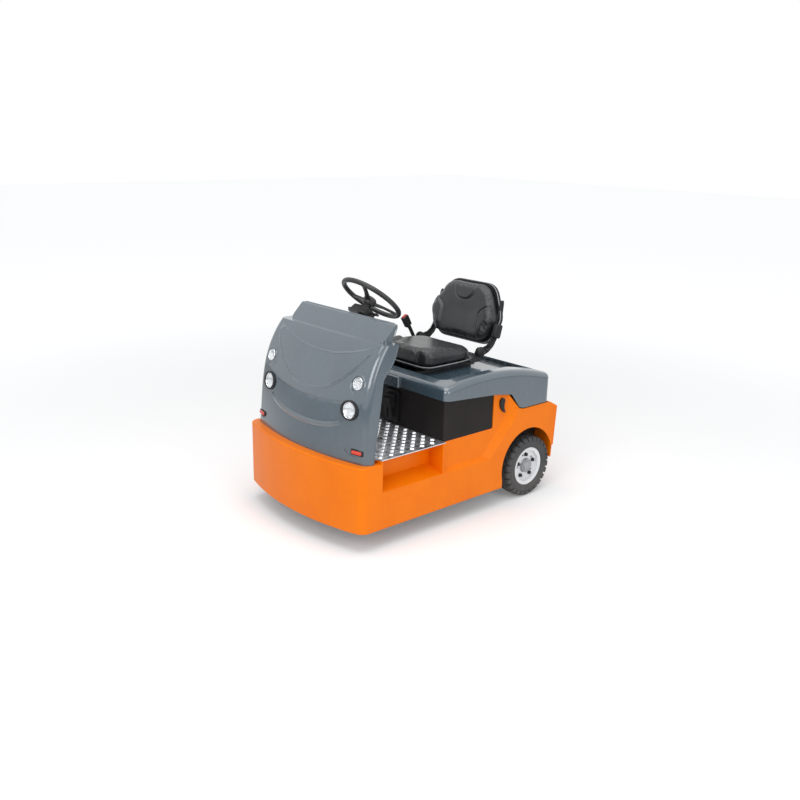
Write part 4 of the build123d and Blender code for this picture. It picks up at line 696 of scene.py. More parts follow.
def puffed(name, mesh, cap):
    """The form after voxel remesh, cloth under pressure with its motion capped, and one subdivision."""
    pad = link_object(name, mesh)
    remesh = pad.modifiers.new("remesh", "REMESH")
    remesh.mode = "VOXEL"
    remesh.voxel_size = voxel
    graph = bpy.context.evaluated_depsgraph_get()
    pad.data = bpy.data.meshes.new_from_object(pad.evaluated_get(graph))
    pad.modifiers.clear()
    start = [corner.co.copy() for corner in pad.data.vertices]
    cloth = pad.modifiers.new("cloth", "CLOTH")
    cloth.settings.use_pressure = True
    cloth.settings.uniform_pressure_force = pressure
    cloth.settings.effector_weights.gravity = 0
    cloth.point_cache.frame_start, cloth.point_cache.frame_end = 1, cloth_frames
    for frame_number in range(1, cloth_frames + 1):
        scene.frame_set(frame_number)
    graph = bpy.context.evaluated_depsgraph_get()
    blown = bpy.data.meshes.new_from_object(pad.evaluated_get(graph))
    pad.modifiers.clear()
    scene.frame_set(1)
    for corner, was in zip(blown.vertices, start):
        step = corner.co - was
        if step.length > cap:
            corner.co = was + step * (cap / step.length)
    pad.data = blown
    soften = pad.modifiers.new("subdivide", "SUBSURF")
    soften.levels = soften.render_levels = 1
    graph = bpy.context.evaluated_depsgraph_get()
    pad.data = bpy.data.meshes.new_from_object(pad.evaluated_get(graph))
    pad.modifiers.clear()
    pad.data.materials.clear()
    pad.data.materials.append(seat_vinyl)
    pad.data.shade_smooth()
    return pad


def groove(distance):
    """How deep a sewn seam is at this distance from its line, 0 to 1."""
    return 2.718 ** -((distance / seam_width) ** 2)


def back_relief(side, height):
    """How far the back's face stands out: bolsters, seams and the U pad."""
    seam = 0.148 + 1.1 * max(height - 0.165, 0.0) ** 1.5 * 4.0 + 0.16 * max(0.07 - height, 0.0)
    bolster = 0.013 * smooth_step(abs(side), seam, seam + 0.028)
    cut = groove(abs(side) - seam)
    pad = ((abs(side) / 0.092) ** 2.6 + (max(0.375 - height, 0.0) / 0.14) ** 2.6) ** (1 / 2.6)
    cut = max(cut, groove((pad - 1) * 0.1))
    hollow = 0.007 * (1 - min(abs(side) / 0.15, 1.0) ** 2) * smooth_step(0.26 - height, 0.0, 0.1)
    return bolster + 0.006 * smooth_step(1 - pad, 0.0, 0.12) - seam_depth * cut - hollow


def seat_relief(side, forward):
    """How far the seat's face stands up: side bolsters that fade out to the rear, and their seams."""
    seam = 0.118 + 0.128 * smooth_step(0.02 - forward, 0.0, 0.30)
    bolster = 0.013 * smooth_step(abs(side), seam, seam + 0.03)
    roll = 0.006 * smooth_step(forward, -0.03, 0.03) * (1 - smooth_step(abs(side), seam - 0.03, seam))
    return bolster + roll - seam_depth * groove(abs(side) - seam)


def on_back(a, b, height):
    """The point this far to the left, up along the back and out from its face."""
    return back_foot + Vector((0, a, 0)) + back_up * b + back_out * height


def on_seat(a, b, height):
    """The point this far to the left, forward and over the hood's top."""
    return Vector((b, a, hood_top + height))


def on_sloped_seat(a, b, height):
    """The same, with the cushion's face sloping up to the front."""
    return on_seat(a, b, height + (b - seat_corners[0][1]) * seat_slope * (height > face_height))


back_pad = puffed("backrest_cushion_cover", stacked("backrest_form", back_corners, back_levels, on_back),
                  puff_limit)
for corner, normal in zip(back_pad.data.vertices, [Vector(n.vector) for n in back_pad.data.vertex_normals]):
    facing_out = smooth_step(normal.dot(back_out), 0.25, 0.7)
    if facing_out:
        offset = corner.co - back_foot
        corner.co += back_out * back_relief(offset.y, offset.dot(back_up)) * facing_out
seat_pad = puffed("seat_cushion_cover", stacked("seat_form", seat_corners, seat_levels, on_sloped_seat),
                  puff_limit)
for corner, normal in zip(seat_pad.data.vertices, [Vector(n.vector) for n in seat_pad.data.vertex_normals]):
    facing_up = smooth_step(normal.z, 0.25, 0.7)
    if facing_up:
        corner.co.z += seat_relief(corner.co.y, corner.co.x) * facing_up
for pad, body, node in ((back_pad, "backrest", "backrest_cushion"), (seat_pad, "seat", "seat_cushion")):
    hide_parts(node)
    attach(pad, body)

# Seat trim and shell
# Piping where the covers meet the pans, and a moulded back shell on two curved steel arms.
piping_grey = surface("piping_grey", (0.20, 0.21, 0.22), (0.30, 0.31, 0.32), (0.4, 0.55))
shell_levels = [(-0.004, -0.0605), (-0.009, -0.066), (-0.010, -0.076), (-0.004, -0.085), (0.012, -0.090),
                (0.05, -0.092)]
pan_levels = [(0.012, 0.0305), (0.002, 0.033), (0.0, 0.039), (0.004, 0.0440)]
arm_in, arm_out = 0.2526, 0.2626
# Arm's middle line from pivot to top: x, z, width
arm_line = [(-0.338, 0.894, 0.046), (-0.352, 0.890, 0.050), (-0.380, 0.889, 0.050), (-0.415, 0.899, 0.046),
            (-0.447, 0.921, 0.044), (-0.472, 0.957, 0.044), (-0.489, 1.005, 0.046), (-0.503, 1.060, 0.044),
            (-0.517, 1.115, 0.038), (-0.527, 1.160, 0.028), (-0.531, 1.180, 0.016)]


def tube(name, points, radius, material, closed=False, steps=3):
    """A round tube along points, as a mesh."""
    line = bpy.data.curves.new(name, "CURVE")
    line.dimensions = "3D"
    line.bevel_depth = radius
    line.bevel_resolution = steps
    line.use_fill_caps = True
    spline = line.splines.new("POLY")
    spline.points.add(len(points) - 1)
    for point, place in zip(spline.points, points):
        point.co = (*place, 1)
    spline.use_cyclic_u = closed
    holder = bpy.data.objects.new(name, line)
    scene.collection.objects.link(holder)
    mesh = bpy.data.meshes.new_from_object(holder.evaluated_get(bpy.context.evaluated_depsgraph_get()))
    bpy.data.objects.remove(holder)
    return link_object(name, finish_mesh(mesh), material)


def ribbon(name, line, low, high, bevel):
    """A plate that follows a line of x, z and width, between two y values, with rounded edges."""
    middle = [Vector((x, z)) for x, z, width in line]
    left, right = [], []
    for place, (x, z, width) in enumerate(line):
        along = middle[min(place + 1, len(line) - 1)] - middle[max(place - 1, 0)]
        across = Vector((-along.y, along.x)).normalized() * width / 2
        left.append(middle[place] + across)
        right.append(middle[place] - across)
    size = len(line)
    corners = [(point.x, y, point.y) for y in (low, high) for point in left + right]
    faces = []
    for place in range(size - 1):
        for first, second in ((0, size), (3 * size, 2 * size)):
            faces.append((first + place, first + place + 1, second + place + 1, second + place))
        faces.append((place, place + 1, 2 * size + place + 1, 2 * size + place))
        faces.append((size + place, size + place + 1, 3 * size + place + 1, 3 * size + place))
    faces += [(0, size, 3 * size, 2 * size), (size - 1, 2 * size - 1, 4 * size - 1, 3 * size - 1)]
    return bevelled(mesh_of(name, corners, faces), bevel, 3)


def joined(name, material, *meshes):
    """One new object from several meshes."""
    whole = merged(bpy.data.meshes.new(name), *meshes)
    whole.shade_smooth()
    whole.set_sharp_from_angle(angle=radians(35))
    return link_object(name, whole, material)


def soft_box(name, size, place, turn=Matrix(), rounding=0.005, segments=3, taper=1.0):
    """A moulded box with rounded edges, narrower at its top by the taper."""
    work = bmesh.new()
    bmesh.ops.create_cube(work, size=1.0)
    for corner in work.verts:
        share = taper if corner.co.z > 0 else 1.0
        corner.co = corner.co * Vector((size[0] * share, size[1] * share, size[2]))
    bmesh.ops.bevel(work, geom=work.edges[:], offset=rounding, segments=segments, affect="EDGES", profile=0.5)
    mesh = bpy.data.meshes.new(name)
    work.to_mesh(mesh)
    work.free()
    return moved(finish_mesh(mesh), turn, place)


back_turn = Matrix.Rotation(-back_lean, 4, "Y")
shell_form = stacked("shell_form", back_corners, shell_levels, on_back)
shell_bar = soft_box("shell_bar", (0.012, 0.44, 0.07), on_back(0, 0.17, -0.094), back_turn)
shell_ribs = [soft_box("shell_rib", (0.008, 0.016, 0.26), on_back(side * 0.09, 0.17, -0.094), back_turn, 0.003)
              for side in (-1, 1)]
arms = [ribbon("arm", arm_line, side * arm_in, side * arm_out, 0.002) for side in (-1, 1)]
shell = joined("backrest_shell_moulding", black_moulding, shell_form, shell_bar, *shell_ribs, *arms)
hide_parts("backrest_shell")
knob_profile = [(0.0, 0.022), (0.014, 0.022), (0.019, 0.0205), (0.0285, 0.016), (0.031, 0.012),
                (0.031, 0.0), (0.0, 0.0)]
knobs = [moved(lathe("knob", knob_profile, 32), Matrix.Rotation(-side * pi / 2, 4, "X"),
               (pivot_x, side * arm_out, pivot_z)) for side in (-1, 1)]
recliner = joined("recliner_caps", black_moulding, *knobs)
back_piping = tube("backrest_piping", [on_back(point.x, point.y, -0.0585)
                                       for point in rounded_outline(back_corners, -0.0065)],
                   0.0032, piping_grey, closed=True)
pan_edge = link_object("seat_pan_edge", stacked("pan_edge", seat_corners, pan_levels, on_seat), black_moulding)
seat_piping = tube("seat_piping", [on_seat(point.x, point.y, 0.0452)
                                   for point in rounded_outline(seat_corners, -0.0005)],
                   0.0034, piping_grey, closed=True)
for piece, body, slot in ((shell, "backrest", "black_plastic"), (recliner, "backrest", "black_plastic"),
                          (back_piping, "backrest", "seat_vinyl"), (pan_edge, "seat", "black_plastic"),
                          (seat_piping, "seat", "seat_vinyl")):
    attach(piece, body)

# Lap belt
# A buckle with a red button on a sleeved stalk at the right, and a retractor with webbing at the left.
button_red = surface("button_red", (0.42, 0.015, 0.01), (0.55, 0.03, 0.015), (0.3, 0.4))
webbing_black = surface("webbing_black", (0.014, 0.014, 0.015), (0.022, 0.022, 0.023), (0.7, 0.85),
                        grain=1600.0, depth=0.0008)
buckle_low, buckle_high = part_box("belt_buckle")
buckle_lean = Matrix.Rotation(radians(30), 4, "Y")
stalk_y = (buckle_low.y + buckle_high.y) / 2
stalk_line = [(-0.308, 0.832, 0.024), (-0.306, 0.850, 0.026), (-0.296, 0.880, 0.024), (-0.278, 0.915, 0.022),
              (-0.255, 0.955, 0.022), (-0.240, 0.978, 0.024)]
stalk = ribbon("stalk", stalk_line, stalk_y - 0.006, stalk_y + 0.006, 0.003)
buckle_middle = Vector((-0.222, stalk_y, 1.006))
buckle = soft_box("buckle", (0.046, 0.028, 0.074), buckle_middle, buckle_lean, 0.006, 3, 1.06)
buckle_body = joined("belt_buckle_body", black_moulding, stalk, buckle)
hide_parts("belt_buckle")
button_mesh = soft_box("button", (0.036, 0.018, 0.010), buckle_middle + buckle_lean @ Vector((0, 0, 0.036)),
                       buckle_lean, 0.003)
button = link_object("belt_button", button_mesh, button_red)
reel_low, reel_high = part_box("belt_retractor")
reel_middle = Vector(((reel_low.x + reel_high.x) / 2 + 0.022, (reel_low.y + reel_high.y) / 2 + 0.002, 1.004))
reel_mesh = soft_box("reel", (0.058, 0.034, 0.084), reel_middle, Matrix.Rotation(radians(-16), 4, "Y"),
                     0.010, 4)
reel = link_object("belt_retractor_housing", reel_mesh, black_moulding)
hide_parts("belt_retractor")
strap_y = reel_middle.y
strap_line = [(reel_middle.x + 0.006, reel_middle.z - 0.030, 0.003), (reel_middle.x + 0.018, 0.950, 0.003),
              (reel_middle.x + 0.032, 0.925, 0.003), (reel_middle.x + 0.048, 0.915, 0.003)]
strap = link_object("belt_webbing", ribbon("strap", strap_line, strap_y - 0.012, strap_y + 0.012, 0.0008),
                    webbing_black)
tongue = link_object("belt_tongue", soft_box("tongue", (0.050, 0.030, 0.005),
                                             (reel_middle.x + 0.070, strap_y, 0.909),
                                             Matrix.Rotation(radians(14), 4, "Y"), 0.002), dark_steel_and_hole_shade)
for piece, body in ((buckle_body, "seat"), (button, "seat"), (reel, "backrest"), (strap, "backrest"),
                    (tongue, "backrest")):
    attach(piece, body)

# Steering wheel
# A padded rim on three thick moulded spokes and a domed hub cap.
wheel_centre, wheel_lean = Vector((0.281, 0, 1.240)), radians(40)
rim_radius, grip_radius = 0.1774, 0.0144
spoke_angles, spoke_steps = (-65, 55, 175), 12
# Spoke sections from hub to rim: share of the way, width, thickness, bow upwards
spoke_sections = [(0.0, 0.042, 0.020, 0.0), (0.15, 0.034, 0.017, 0.002), (0.4, 0.026, 0.014, 0.004),
                  (0.7, 0.026, 0.013, 0.003), (0.92, 0.032, 0.015, 0.0), (1.0, 0.040, 0.017, 0.0)]
hub_cap_profile = [(0.0, 0.006), (0.016, 0.0058), (0.021, 0.0035), (0.024, 0.0035), (0.031, 0.001),
                   (0.037, -0.006), (0.040, -0.016), (0.039, -0.030), (0.033, -0.042), (0.0, -0.042)]
to_wheel = Matrix.Translation(wheel_centre) @ Matrix.Rotation(-wheel_lean, 4, "Y")


def grip_ring():
    """The rim with shallow finger waves on its inner side."""
    corners, faces = [], []
    around, across = 144, 14
    for step in range(around):
        turn = 2 * pi * step / around
        wave = 0.0009 * max(cos(turn * 36), 0.0)
        for part in range(across):
            slant = 2 * pi * part / across
            thick = grip_radius - wave * max(-cos(slant), 0.0)
            reach = rim_radius + thick * cos(slant)
            corners.append((reach * cos(turn), reach * sin(turn), thick * sin(slant)))
    for step in range(around):
        for part in range(across):
            beside, after = (part + 1) % across, (step + 1) % around
            faces.append((step * across + part, after * across + part,
                          after * across + beside, step * across + beside))
    return mesh_of("grip", corners, faces)


def spoke_form(angle):
    """One spoke: rounded sections from under the hub cap out to the rim."""
    start, end = Vector((0, 0.030, -0.022)), Vector((0, rim_radius - 0.004, 0))
    slants = [2 * pi * part / spoke_steps for part in range(spoke_steps)]
    rings = []
    for share, width, thick, bow in spoke_sections:
        middle = start.lerp(end, share) + Vector((0, 0, bow))
        rings.append([middle + Vector((width / 2 * copysign(abs(cos(slant)) ** 0.6, cos(slant)), 0,
                                       thick / 2 * copysign(abs(sin(slant)) ** 0.6, sin(slant))))
                      for slant in slants])
    return moved(sleeve("spoke", rings), Matrix.Rotation(radians(angle), 4, "Z"))


wheel_parts = [grip_ring(), lathe("hub_cap", hub_cap_profile, 40), *map(spoke_form, spoke_angles)]
for part in wheel_parts:
    part.transform(to_wheel)
wheel_grip = surface("wheel_grip", (0.015, 0.015, 0.016), (0.027, 0.027, 0.029), (0.3, 0.42), grain=800.0,
                     depth=0.0003)
steering = joined("steering_wheel_grip", wheel_grip, *wheel_parts)
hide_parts("steering_wheel")
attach(steering, "steering_wheel")

# Headlamps and small lamps
# Chromed bowls with a bulb behind clear domed lenses; the small ones sit in a bright ring.
chrome = surface("chrome", (0.78, 0.80, 0.82), (0.90, 0.91, 0.92), (0.04, 0.10), cloud=30.0, depth=0.00001,
                 Metallic=1.0)
lens_glass = surface("lens_glass", (0.93, 0.95, 0.96), (0.97, 0.98, 0.99), (0.01, 0.03), grain=120.0,
                     depth=0.00004, IOR=1.42, Transmission_Weight=1.0)
bulb_glass = surface("bulb_glass", (0.80, 0.84, 0.88), (0.95, 0.96, 0.97), (0.04, 0.08), Coat_Weight=0.5)


def lamp_frames(node):
    """For each side, a matrix at the lamp's middle on its front plane, z outwards and x level."""
    mesh = nodes[node].data
    frames = []
    for side in (-1, 1):
        faces = [face for face in mesh.polygons if face.center.y * side > 0 and face.normal.x > 0.4]
        out = sum((face.normal * face.area for face in faces), Vector()).normalized()
        weight = sum(face.area for face in faces)
        middle = sum((face.center * face.area for face in faces), Vector()) / weight
        reach = max(out.dot(mesh.vertices[place].co) for face in faces for place in face.vertices)
        middle += out * (reach - out.dot(middle))
        level = Vector((0, 0, 1)).cross(out).normalized()
        turn = Matrix((level, out.cross(level), out)).transposed().to_4x4()
        frames.append(Matrix.Translation(middle) @ turn)
    return frames


def lamp_set(name, node, radius, front, depth, dome, ring=None):
    """Bowls, bulbs and lenses for a pair of lamps whose lens edge is this far behind the node's front."""
    bowl = [(radius, front)]
    bowl += [(radius * (1 - share) ** 0.5 + 0.006 * share, front - depth * share)
             for share in (0.04, 0.12, 0.25, 0.42, 0.6, 0.8, 0.95)]
    bowl += [(0.0, front - depth), (0.0, front - depth - 0.002), (radius + 0.0008, front - 0.002)]
    bulb = [(0.0, front - depth * 0.3), (0.0035, front - depth * 0.33), (0.0048, front - depth * 0.45),
            (0.0048, front - depth * 0.85), (0.0065, front - depth * 0.88), (0.0065, front - depth),
            (0.0, front - depth)]
    arc = [(radius * sin(share * pi / 2), front + dome * cos(share * pi / 2))
           for share in (0, 0.2, 0.4, 0.6, 0.8, 0.93, 1)]
    lens = arc + [(a * 0.965, b - 0.0022) for a, b in reversed(arc)]
    made = {"bowls": (bowl, chrome), "bulbs": (bulb, bulb_glass), "lenses": (lens, lens_glass)}
    if ring:
        made["rings"] = (ring, chrome)
    for part, (profile, material) in made.items():
        meshes = [moved(lathe(part, profile, 48, closed=part in ("lenses", "rings")), place)
                  for place in lamp_frames(node)]
        piece = joined(name + "_" + part, material, *meshes)
        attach(piece, "chassis")
    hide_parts(node)


headlamp_ring = [(0.0405, -0.0110), (0.0440, -0.0068), (0.0446, -0.0085), (0.0446, -0.0125),
                 (0.0415, -0.0130)]
lamp_set("headlamp", "headlamp_lenses", 0.0425, -0.0110, 0.032, 0.009, headlamp_ring)
small_ring = [(0.0292, -0.0035), (0.0305, -0.0010), (0.0325, -0.0006), (0.0338, -0.0022), (0.0340, -0.0240),
              (0.0300, -0.0240)]
lamp_set("small_lamp", "small_lamps", 0.0298, -0.0040, 0.017, 0.0062, small_ring)

# Marker lamps and tail lamps
# Ribbed red and amber lenses clipped over black trays.
lens_look = {"gloss": (0.10, 0.2), "grain": 60.0, "depth": 0.0006, "Coat_Weight": 0.6}
red_lens = surface("red_lens", (0.62, 0.020, 0.006), (0.78, 0.045, 0.012), **lens_look)
amber_lens = surface("amber_lens", (0.80, 0.22, 0.01), (0.90, 0.30, 0.02), **lens_look)


def clipped(frame_place, size, side, out, rounding, taper=1.0):
    """A moulded box in a lamp's frame, this far to the side and out of its plane."""
    return moved(soft_box("lens", size, (0, side, out), rounding=rounding, segments=4, taper=taper), frame_place)


marker_frames = lamp_frames("marker_lamps")
marker_trays = joined("marker_trays", black_moulding, *[
    clipped(place, (0.084, 0.032, 0.016), 0, -0.012, 0.007) for place in marker_frames])
marker_glass = joined("marker_lenses", red_lens, *[
    clipped(place, (0.066, 0.020, 0.014), 0, -0.004, 0.0065, 0.96) for place in marker_frames])
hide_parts("marker_lamps")
tail_low, tail_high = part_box("tail_lamps")
tail_lean = Matrix.Rotation(-pi / 2 - atan2(0.020, 0.332), 4, "Y")
trays, reds, ambers = [], [], []
for side in (-1, 1):
    tail_middle = (tail_low.x, side * (tail_high.y - 0.060), (tail_low.z + tail_high.z) / 2)
    place = Matrix.Translation(tail_middle) @ tail_lean
    trays.append(clipped(place, (0.060, 0.120, 0.016), 0, -0.0160, 0.007))
    reds.append(clipped(place, (0.050, 0.070, 0.014), side * 0.019, -0.0075, 0.006, 0.94))
    ambers.append(clipped(place, (0.050, 0.036, 0.014), -side * 0.0355, -0.0075, 0.006, 0.94))
tail_trays = joined("tail_lamp_trays", black_moulding, *trays)
tail_reds = joined("tail_lamp_red_lenses", red_lens, *reds)
tail_ambers = joined("tail_lamp_amber_lenses", amber_lens, *ambers)
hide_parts("tail_lamps")
for piece, slot in ((marker_trays, "black_plastic"), (marker_glass, "red_lens"), (tail_trays, "black_plastic"),
                    (tail_reds, "red_lens"), (tail_ambers, "red_lens")):
    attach(piece, "chassis")

# Cowl and hood trim
# Beads on the cowl's free edge and crest, low ridges on its face, and stops and side lines on the hood.
edge_line = [(0.673, 0.486), (0.643, 0.640), (0.613, 0.798), (0.602, 0.860), (0.592, 0.915), (0.570, 0.944),
             (0.545, 0.970), (0.520, 1.000), (0.502, 1.030), (0.488, 1.066), (0.482, 1.084)]
crest_line = [(0.469, 1.124, 0.4145), (0.458, 1.150, 0.4145), (0.449, 1.168, 0.411),
              (0.446, 1.176, 0.402), (0.4455, 1.1795, 0.388)]
edge_radius = 0.0055
rearward, rightward = Vector((-1, 0, 0)), Vector((0, -1, 0))


def face_tree(node):
    """The faces of a CAD node, ready for ray casts."""
    mesh = nodes[node].data
    return BVHTree.FromPolygons([corner.co for corner in mesh.vertices],
                                [tuple(face.vertices) for face in mesh.polygons])


cowl_faces = face_tree("cowl")
half_edge = []
for x, z in edge_line:
    hit = cowl_faces.ray_cast(Vector((x + 0.006, 0.7, z)), rightward)[0]
    half_edge.append(Vector((x + 0.002, hit.y - 0.0035, z)))
beads = []
for side in (-1, 1):
    side_points = [Vector((point.x, side * point.y, point.z)) for point in half_edge]
    beads.append(tube("cowl_edge_bead_left" if side < 0 else "cowl_edge_bead_right", side_points, edge_radius,
                      grey_moulding))
crest_points = [Vector((x, y, z)) for x, z, y in crest_line]
crest_points += [Vector((point.x, -point.y, point.z)) for point in reversed(crest_points)]
beads.append(tube("cowl_crest_bead", crest_points, edge_radius, grey_moulding))


def smooth_line(points, steps=10):
    """Points on a smooth line through the given ones."""
    line = []
    padded = [points[0], *points, points[-1]]
    for before, start, end, after in zip(padded, padded[1:], padded[2:], padded[3:]):
        for step in range(steps):
            share = step / steps
            line.append(tuple(0.5 * (2 * b + (c - a) * share + (2 * a - 5 * b + 4 * c - d) * share ** 2
                                     + (3 * b - a - 3 * c + d) * share ** 3)
                              for a, b, c, d in zip(before, start, end, after)))
    return line + [points[-1]]


ray_start = 1.2


def ridge_mesh(line, width, height, closed=False):
    """A low rounded ridge laid on the cowl's face along a line of (y, z)."""
    across = [step / 5 for step in range(-5, 6)]
    corners, faces = [], []
    count = len(line)
    for index, (y, z) in enumerate(line):
        behind = line[(index - 1) % count] if closed else line[max(index - 1, 0)]
        ahead = line[(index + 1) % count] if closed else line[min(index + 1, count - 1)]
        along = Vector((ahead[0] - behind[0], ahead[1] - behind[1])).normalized()
        ends = 1.0 if closed else min(1.0, 6 * min(index, count - 1 - index) / (count - 1))
        tall = height * (ends * ends * (3 - 2 * ends))
        normal = cowl_faces.ray_cast(Vector((ray_start, y, z)), rearward)[1]
        top, foot = [], []
        for station in across:
            reach = station * width / 2
            start = Vector((ray_start, y - along.y * reach, z + along.x * reach))
            hit = cowl_faces.ray_cast(start, rearward)[0]
            top.append(hit + normal * (tall * (0.5 + 0.5 * cos(pi * station)) - 0.0002))
            foot.append(hit - normal * 0.001)
        corners += top + foot[::-1]
    ring = 2 * len(across)
    for index in range(count if closed else count - 1):
        for step in range(ring):
            first, second = index * ring, (index + 1) % count * ring
            faces.append((first + step, second + step, second + (step + 1) % ring, first + (step + 1) % ring))
    if not closed:
        faces.append(tuple(range(ring)))
        faces.append(tuple(range((count - 1) * ring, count * ring))[::-1])
    return mesh_of("ridge", corners, faces, 60.0)


shield_side = [(0.0, 0.811), (0.105, 0.822), (0.193, 0.851), (0.265, 0.897), (0.330, 0.951), (0.385, 1.012),
               (0.428, 1.074)]
crescent_side = [(0.0, 1.000), (0.150, 1.010), (0.300, 1.040), (0.420, 1.082)]
smile_side = [(0.0, 0.628), (0.120, 0.634), (0.230, 0.652), (0.325, 0.682)]
ridges = []
for side_line, ridge_width, ridge_height in ((shield_side, 0.020, 0.0042), (crescent_side, 0.014, 0.0030),
                                             (smile_side, 0.030, 0.0060)):
    whole_line = [(-y, z) for y, z in reversed(side_line[1:])] + side_line
    ridges.append(ridge_mesh(smooth_line(whole_line), ridge_width, ridge_height))
small_lamp_low, small_lamp_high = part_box("small_lamps")
lamp_height = (small_lamp_low.z + small_lamp_high.z) / 2 - 0.006
lamp_side = small_lamp_high.y - (small_lamp_high.z - small_lamp_low.z) / 2
ring_radius, ring_steps = 0.050, 48
ring_turns = [2 * pi * step / ring_steps for step in range(ring_steps)]
for side in (-1, 1):
    ring_line = [(side * lamp_side + ring_radius * cos(turn), lamp_height + ring_radius * sin(turn))
                 for turn in ring_turns]
    ridges.append(ridge_mesh(ring_line, 0.011, 0.0028, closed=True))
cowl_ridges = joined("cowl_ridges", grey_moulding, *ridges)
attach(cowl_ridges, "chassis")

lip_stop = soft_box("stop", (0.005, 0.044, 0.010), (0, 0, 0), Matrix.Rotation(radians(-18), 4, "Y"), 0.002)
stop_count, stop_pitch = 12, 0.060
lip_stops = set_out("hood_lip_stops", lip_stop, black_moulding, stop_count,
                    (-0.6715, -stop_pitch * (stop_count - 1) / 2, 0.7515), step=(0, stop_pitch, 0))
hood_faces = face_tree("hood")
for side, name in ((-1, "hood_side_line_left"), (1, "hood_side_line_right")):
    line_points = []
    for step in range(9):
        start = Vector((-0.702 + 0.015 * step, side * 0.7, 0.618))
        hit = hood_faces.ray_cast(start, rightward * side)[0]
        line_points.append(hit - Vector((0, side * 0.0006, 0)))
    side_line = tube(name, line_points, 0.0022, grey_moulding)
    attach(side_line, "hood")
for bead in beads:
    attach(bead, "chassis")
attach(lip_stops, "hood")

# Battery cells and box corners
# Twenty-four cells with screw caps and lead straps, seen when the hood is up; folded corner strips outside.
cell_plastic = surface("cell_plastic", (0.20, 0.21, 0.22), (0.28, 0.29, 0.30), (0.45, 0.6))
lead_strap = surface("lead_strap", (0.10, 0.10, 0.11), (0.17, 0.17, 0.18), (0.4, 0.55), Metallic=0.7)
battery_low, battery_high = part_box("battery")
cell_columns, cell_rows = 4, 6
cell_long = (battery_high.x - battery_low.x - 0.03) / cell_columns
cell_wide = (battery_high.y - battery_low.y - 0.06) / cell_rows
cell_start = (battery_low.x + 0.015 + cell_long / 2, battery_low.y + 0.03 + cell_wide / 2)
cap = lathe("cell_cap", [(0.0, 0.012), (0.006, 0.012), (0.008, 0.0105), (0.017, 0.0105), (0.019, 0.0085),
                         (0.0195, 0.0), (0.0, 0.0)], 20)
cell_caps = set_out("battery_cell_caps", cap, cell_plastic, cell_columns * cell_rows,
                    (*cell_start, battery_high.z), step=(cell_long, 0, 0), row_length=cell_columns,
                    row_step=(0, cell_wide, 0))
strap_mesh = soft_box("strap", (0.020, cell_wide - 0.045, 0.006), (0, 0, 0), rounding=0.002)
cell_straps = set_out("battery_straps", strap_mesh, lead_strap, cell_columns * (cell_rows - 1),
                      (cell_start[0] + 0.026, cell_start[1] + cell_wide / 2, battery_high.z + 0.003),
                      step=(cell_long, 0, 0), row_length=cell_columns, row_step=(0, cell_wide, 0))
box_low, box_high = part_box("battery_box")
strip_size = 0.011
box_strips = joined("battery_box_corners", box_paint, *[
    soft_box("strip", (strip_size, strip_size, box_high.z - box_low.z - 0.004),
             (box_high.x - strip_size / 2 + 0.0012, side * (box_high.y - strip_size / 2 + 0.0012),
              (box_high.z + box_low.z) / 2), rounding=0.0045, segments=4) for side in (-1, 1)])
for piece, slot in ((cell_caps, "battery_grey"), (cell_straps, "battery_grey"), (box_strips, "box_black")):
    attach(piece, "chassis")

# Dash
# On the black dash panel: a display with keys, a key switch, rocker switches and a red stop button.
screen_glass = surface("screen_glass", (0.012, 0.018, 0.016), (0.020, 0.030, 0.027), (0.06, 0.12),
                       Coat_Weight=0.6)
stop_yellow = surface("stop_yellow", (0.75, 0.45, 0.01), (0.85, 0.55, 0.02), (0.3, 0.4))
dash_slope = radians(-108.9)
dash_face = Matrix.Translation((0.5065, 0, 1.0585)) @ Matrix.Rotation(dash_slope, 4, "Y")


def on_dash(size, place, rounding, taper=1.0):
    """A moulded box on the dash's face."""
    return moved(soft_box("control", size, place, rounding=rounding, taper=taper), dash_face)


dash_controls = joined("dash_controls", black_moulding,
                       on_dash((0.070, 0.150, 0.022), (0, 0.19, 0.008), 0.006),
                       *[on_dash((0.036, 0.021, 0.014), (0, y, 0.004), 0.003, 0.9) for y in (-0.33, -0.30, -0.27)])
dash_glass = joined("dash_display_glass", screen_glass,
                    on_dash((0.040, 0.105, 0.004), (-0.006, 0.19, 0.0192), 0.0015))
display_keys = set_out("dash_display_keys", soft_box("key", (0.009, 0.015, 0.005), (0, 0, 0), rounding=0.002),
                       cell_plastic, 5, dash_face @ Vector((0.023, 0.148, 0.0195)), step=(0, 0.021, 0),
                       tilt=(0, dash_slope, 0))
stop_cap = [(0.0, 0.034), (0.012, 0.033), (0.018, 0.029), (0.020, 0.024), (0.0185, 0.019), (0.011, 0.017),
            (0.010, 0.004), (0.0, 0.004)]
stop_ring = [(0.0, 0.0055), (0.024, 0.0055), (0.026, 0.003), (0.026, 0.0), (0.0, 0.0)]
stop_place = dash_face @ Matrix.Translation((0, -0.16, 0))
stop_button = link_object("dash_stop_button", moved(lathe("stop", stop_cap, 32), stop_place), button_red)
stop_base = link_object("dash_stop_ring", moved(lathe("ring", stop_ring, 32), stop_place), stop_yellow)
key_profile = [(0.0, 0.010), (0.006, 0.010), (0.0075, 0.0085), (0.012, 0.0085), (0.0135, 0.006),
               (0.0135, 0.0), (0.0, 0.0)]
key_y = -0.215
key_switch = joined("dash_key_switch", chrome,
                    moved(lathe("barrel", key_profile, 28), dash_face @ Matrix.Translation((0, key_y, 0))),
                    on_dash((0.020, 0.0026, 0.022), (0, key_y, 0.020), 0.001))
for piece, slot in ((dash_controls, "black_plastic"), (dash_glass, "black_plastic"),
                    (display_keys, "battery_grey"), (stop_button, "red_lens"), (stop_base, "black_plastic"),
                    (key_switch, "zinc_steel")):
    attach(piece, "chassis")

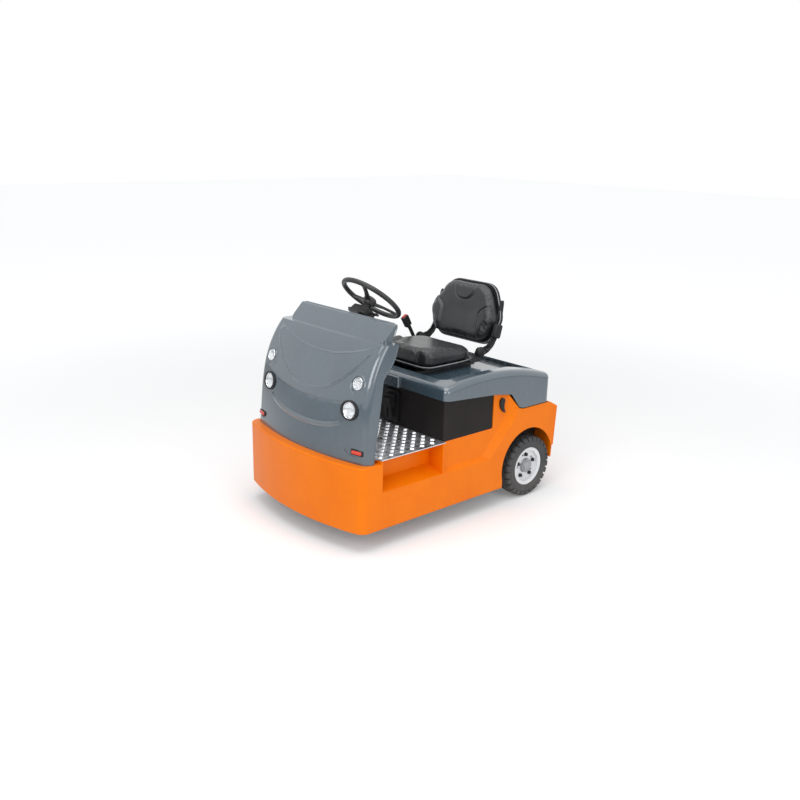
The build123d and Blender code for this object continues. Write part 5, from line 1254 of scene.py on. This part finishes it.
# Pedals
# Steel treads on the sloped gussets of their foot plates, with ribbed rubber pads.
pedal_rubber = surface("pedal_rubber", (0.018, 0.018, 0.019), (0.032, 0.032, 0.034), (0.6, 0.75))
coat_nodes(pedal_rubber, "pedals")
tread_slope = radians(-59.7)
tread_turn = Matrix.Rotation(tread_slope, 4, "Y")
tread_x, tread_z, tread_length, tread_thick = 0.5873, 0.5130, 0.086, 0.006
rib_pitch, rib_count = 0.0115, 7
for name, pedal_y, pedal_width in (("left", 0.040, 0.095), ("right", -0.150, 0.070)):
    foot = Vector((tread_x, pedal_y, tread_z))
    tread_middle = foot + tread_turn @ Vector((tread_length / 2, 0, tread_thick / 2))
    tread_mesh = soft_box("tread", (tread_length, pedal_width, tread_thick), tread_middle, tread_turn, 0.002)
    tread = link_object("pedal_tread_" + name, tread_mesh, black_moulding)
    rib = soft_box("rib", (0.0055, pedal_width - 0.010, 0.005), (0, 0, 0), rounding=0.0018)
    ribs = set_out("pedal_ribs_" + name, rib, pedal_rubber, rib_count,
                   foot + tread_turn @ Vector((0.009, 0, tread_thick + 0.0015)),
                   step=tread_turn @ Vector((rib_pitch, 0, 0)), tilt=(0, tread_slope, 0))
    for piece, slot in ((tread, "black_plastic"), (ribs, "pedal_rubber")):
        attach(piece, "chassis")

# Hitch and hinge fasteners
# Four bolts hold the jaw's plate, and two hold each hinge leaf; the lifting pin is zinc plated.
zinc_steel = surface("zinc_steel", (0.42, 0.42, 0.43), (0.62, 0.62, 0.60), (0.28, 0.42), Metallic=1.0)
coat_nodes(zinc_steel, "hitch_pin")
hitch_bolts = set_out("hitch_bolts", bolt_mesh("hitch_bolt", 0.022, 0.012, 0.014), zinc_steel, 4,
                      (-0.7777, -0.080, 0.270), step=(0, 0.160, 0), row_length=2, row_step=(-0.0072, 0, 0.120),
                      tilt=(0, radians(-93.4), 0))
leaf_bolts = set_out("hinge_leaf_bolts", bolt_mesh("leaf_bolt", 0.010, 0.006, 0.0065), zinc_steel, 4,
                     (-0.7070, -0.3363, 0.622), step=(0, 0.0726, 0), row_length=2, row_step=(0, 0.600, 0),
                     tilt=(0, radians(-90), 0))
for piece, body in ((hitch_bolts, "chassis"), (leaf_bolts, "hood")):
    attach(piece, body)
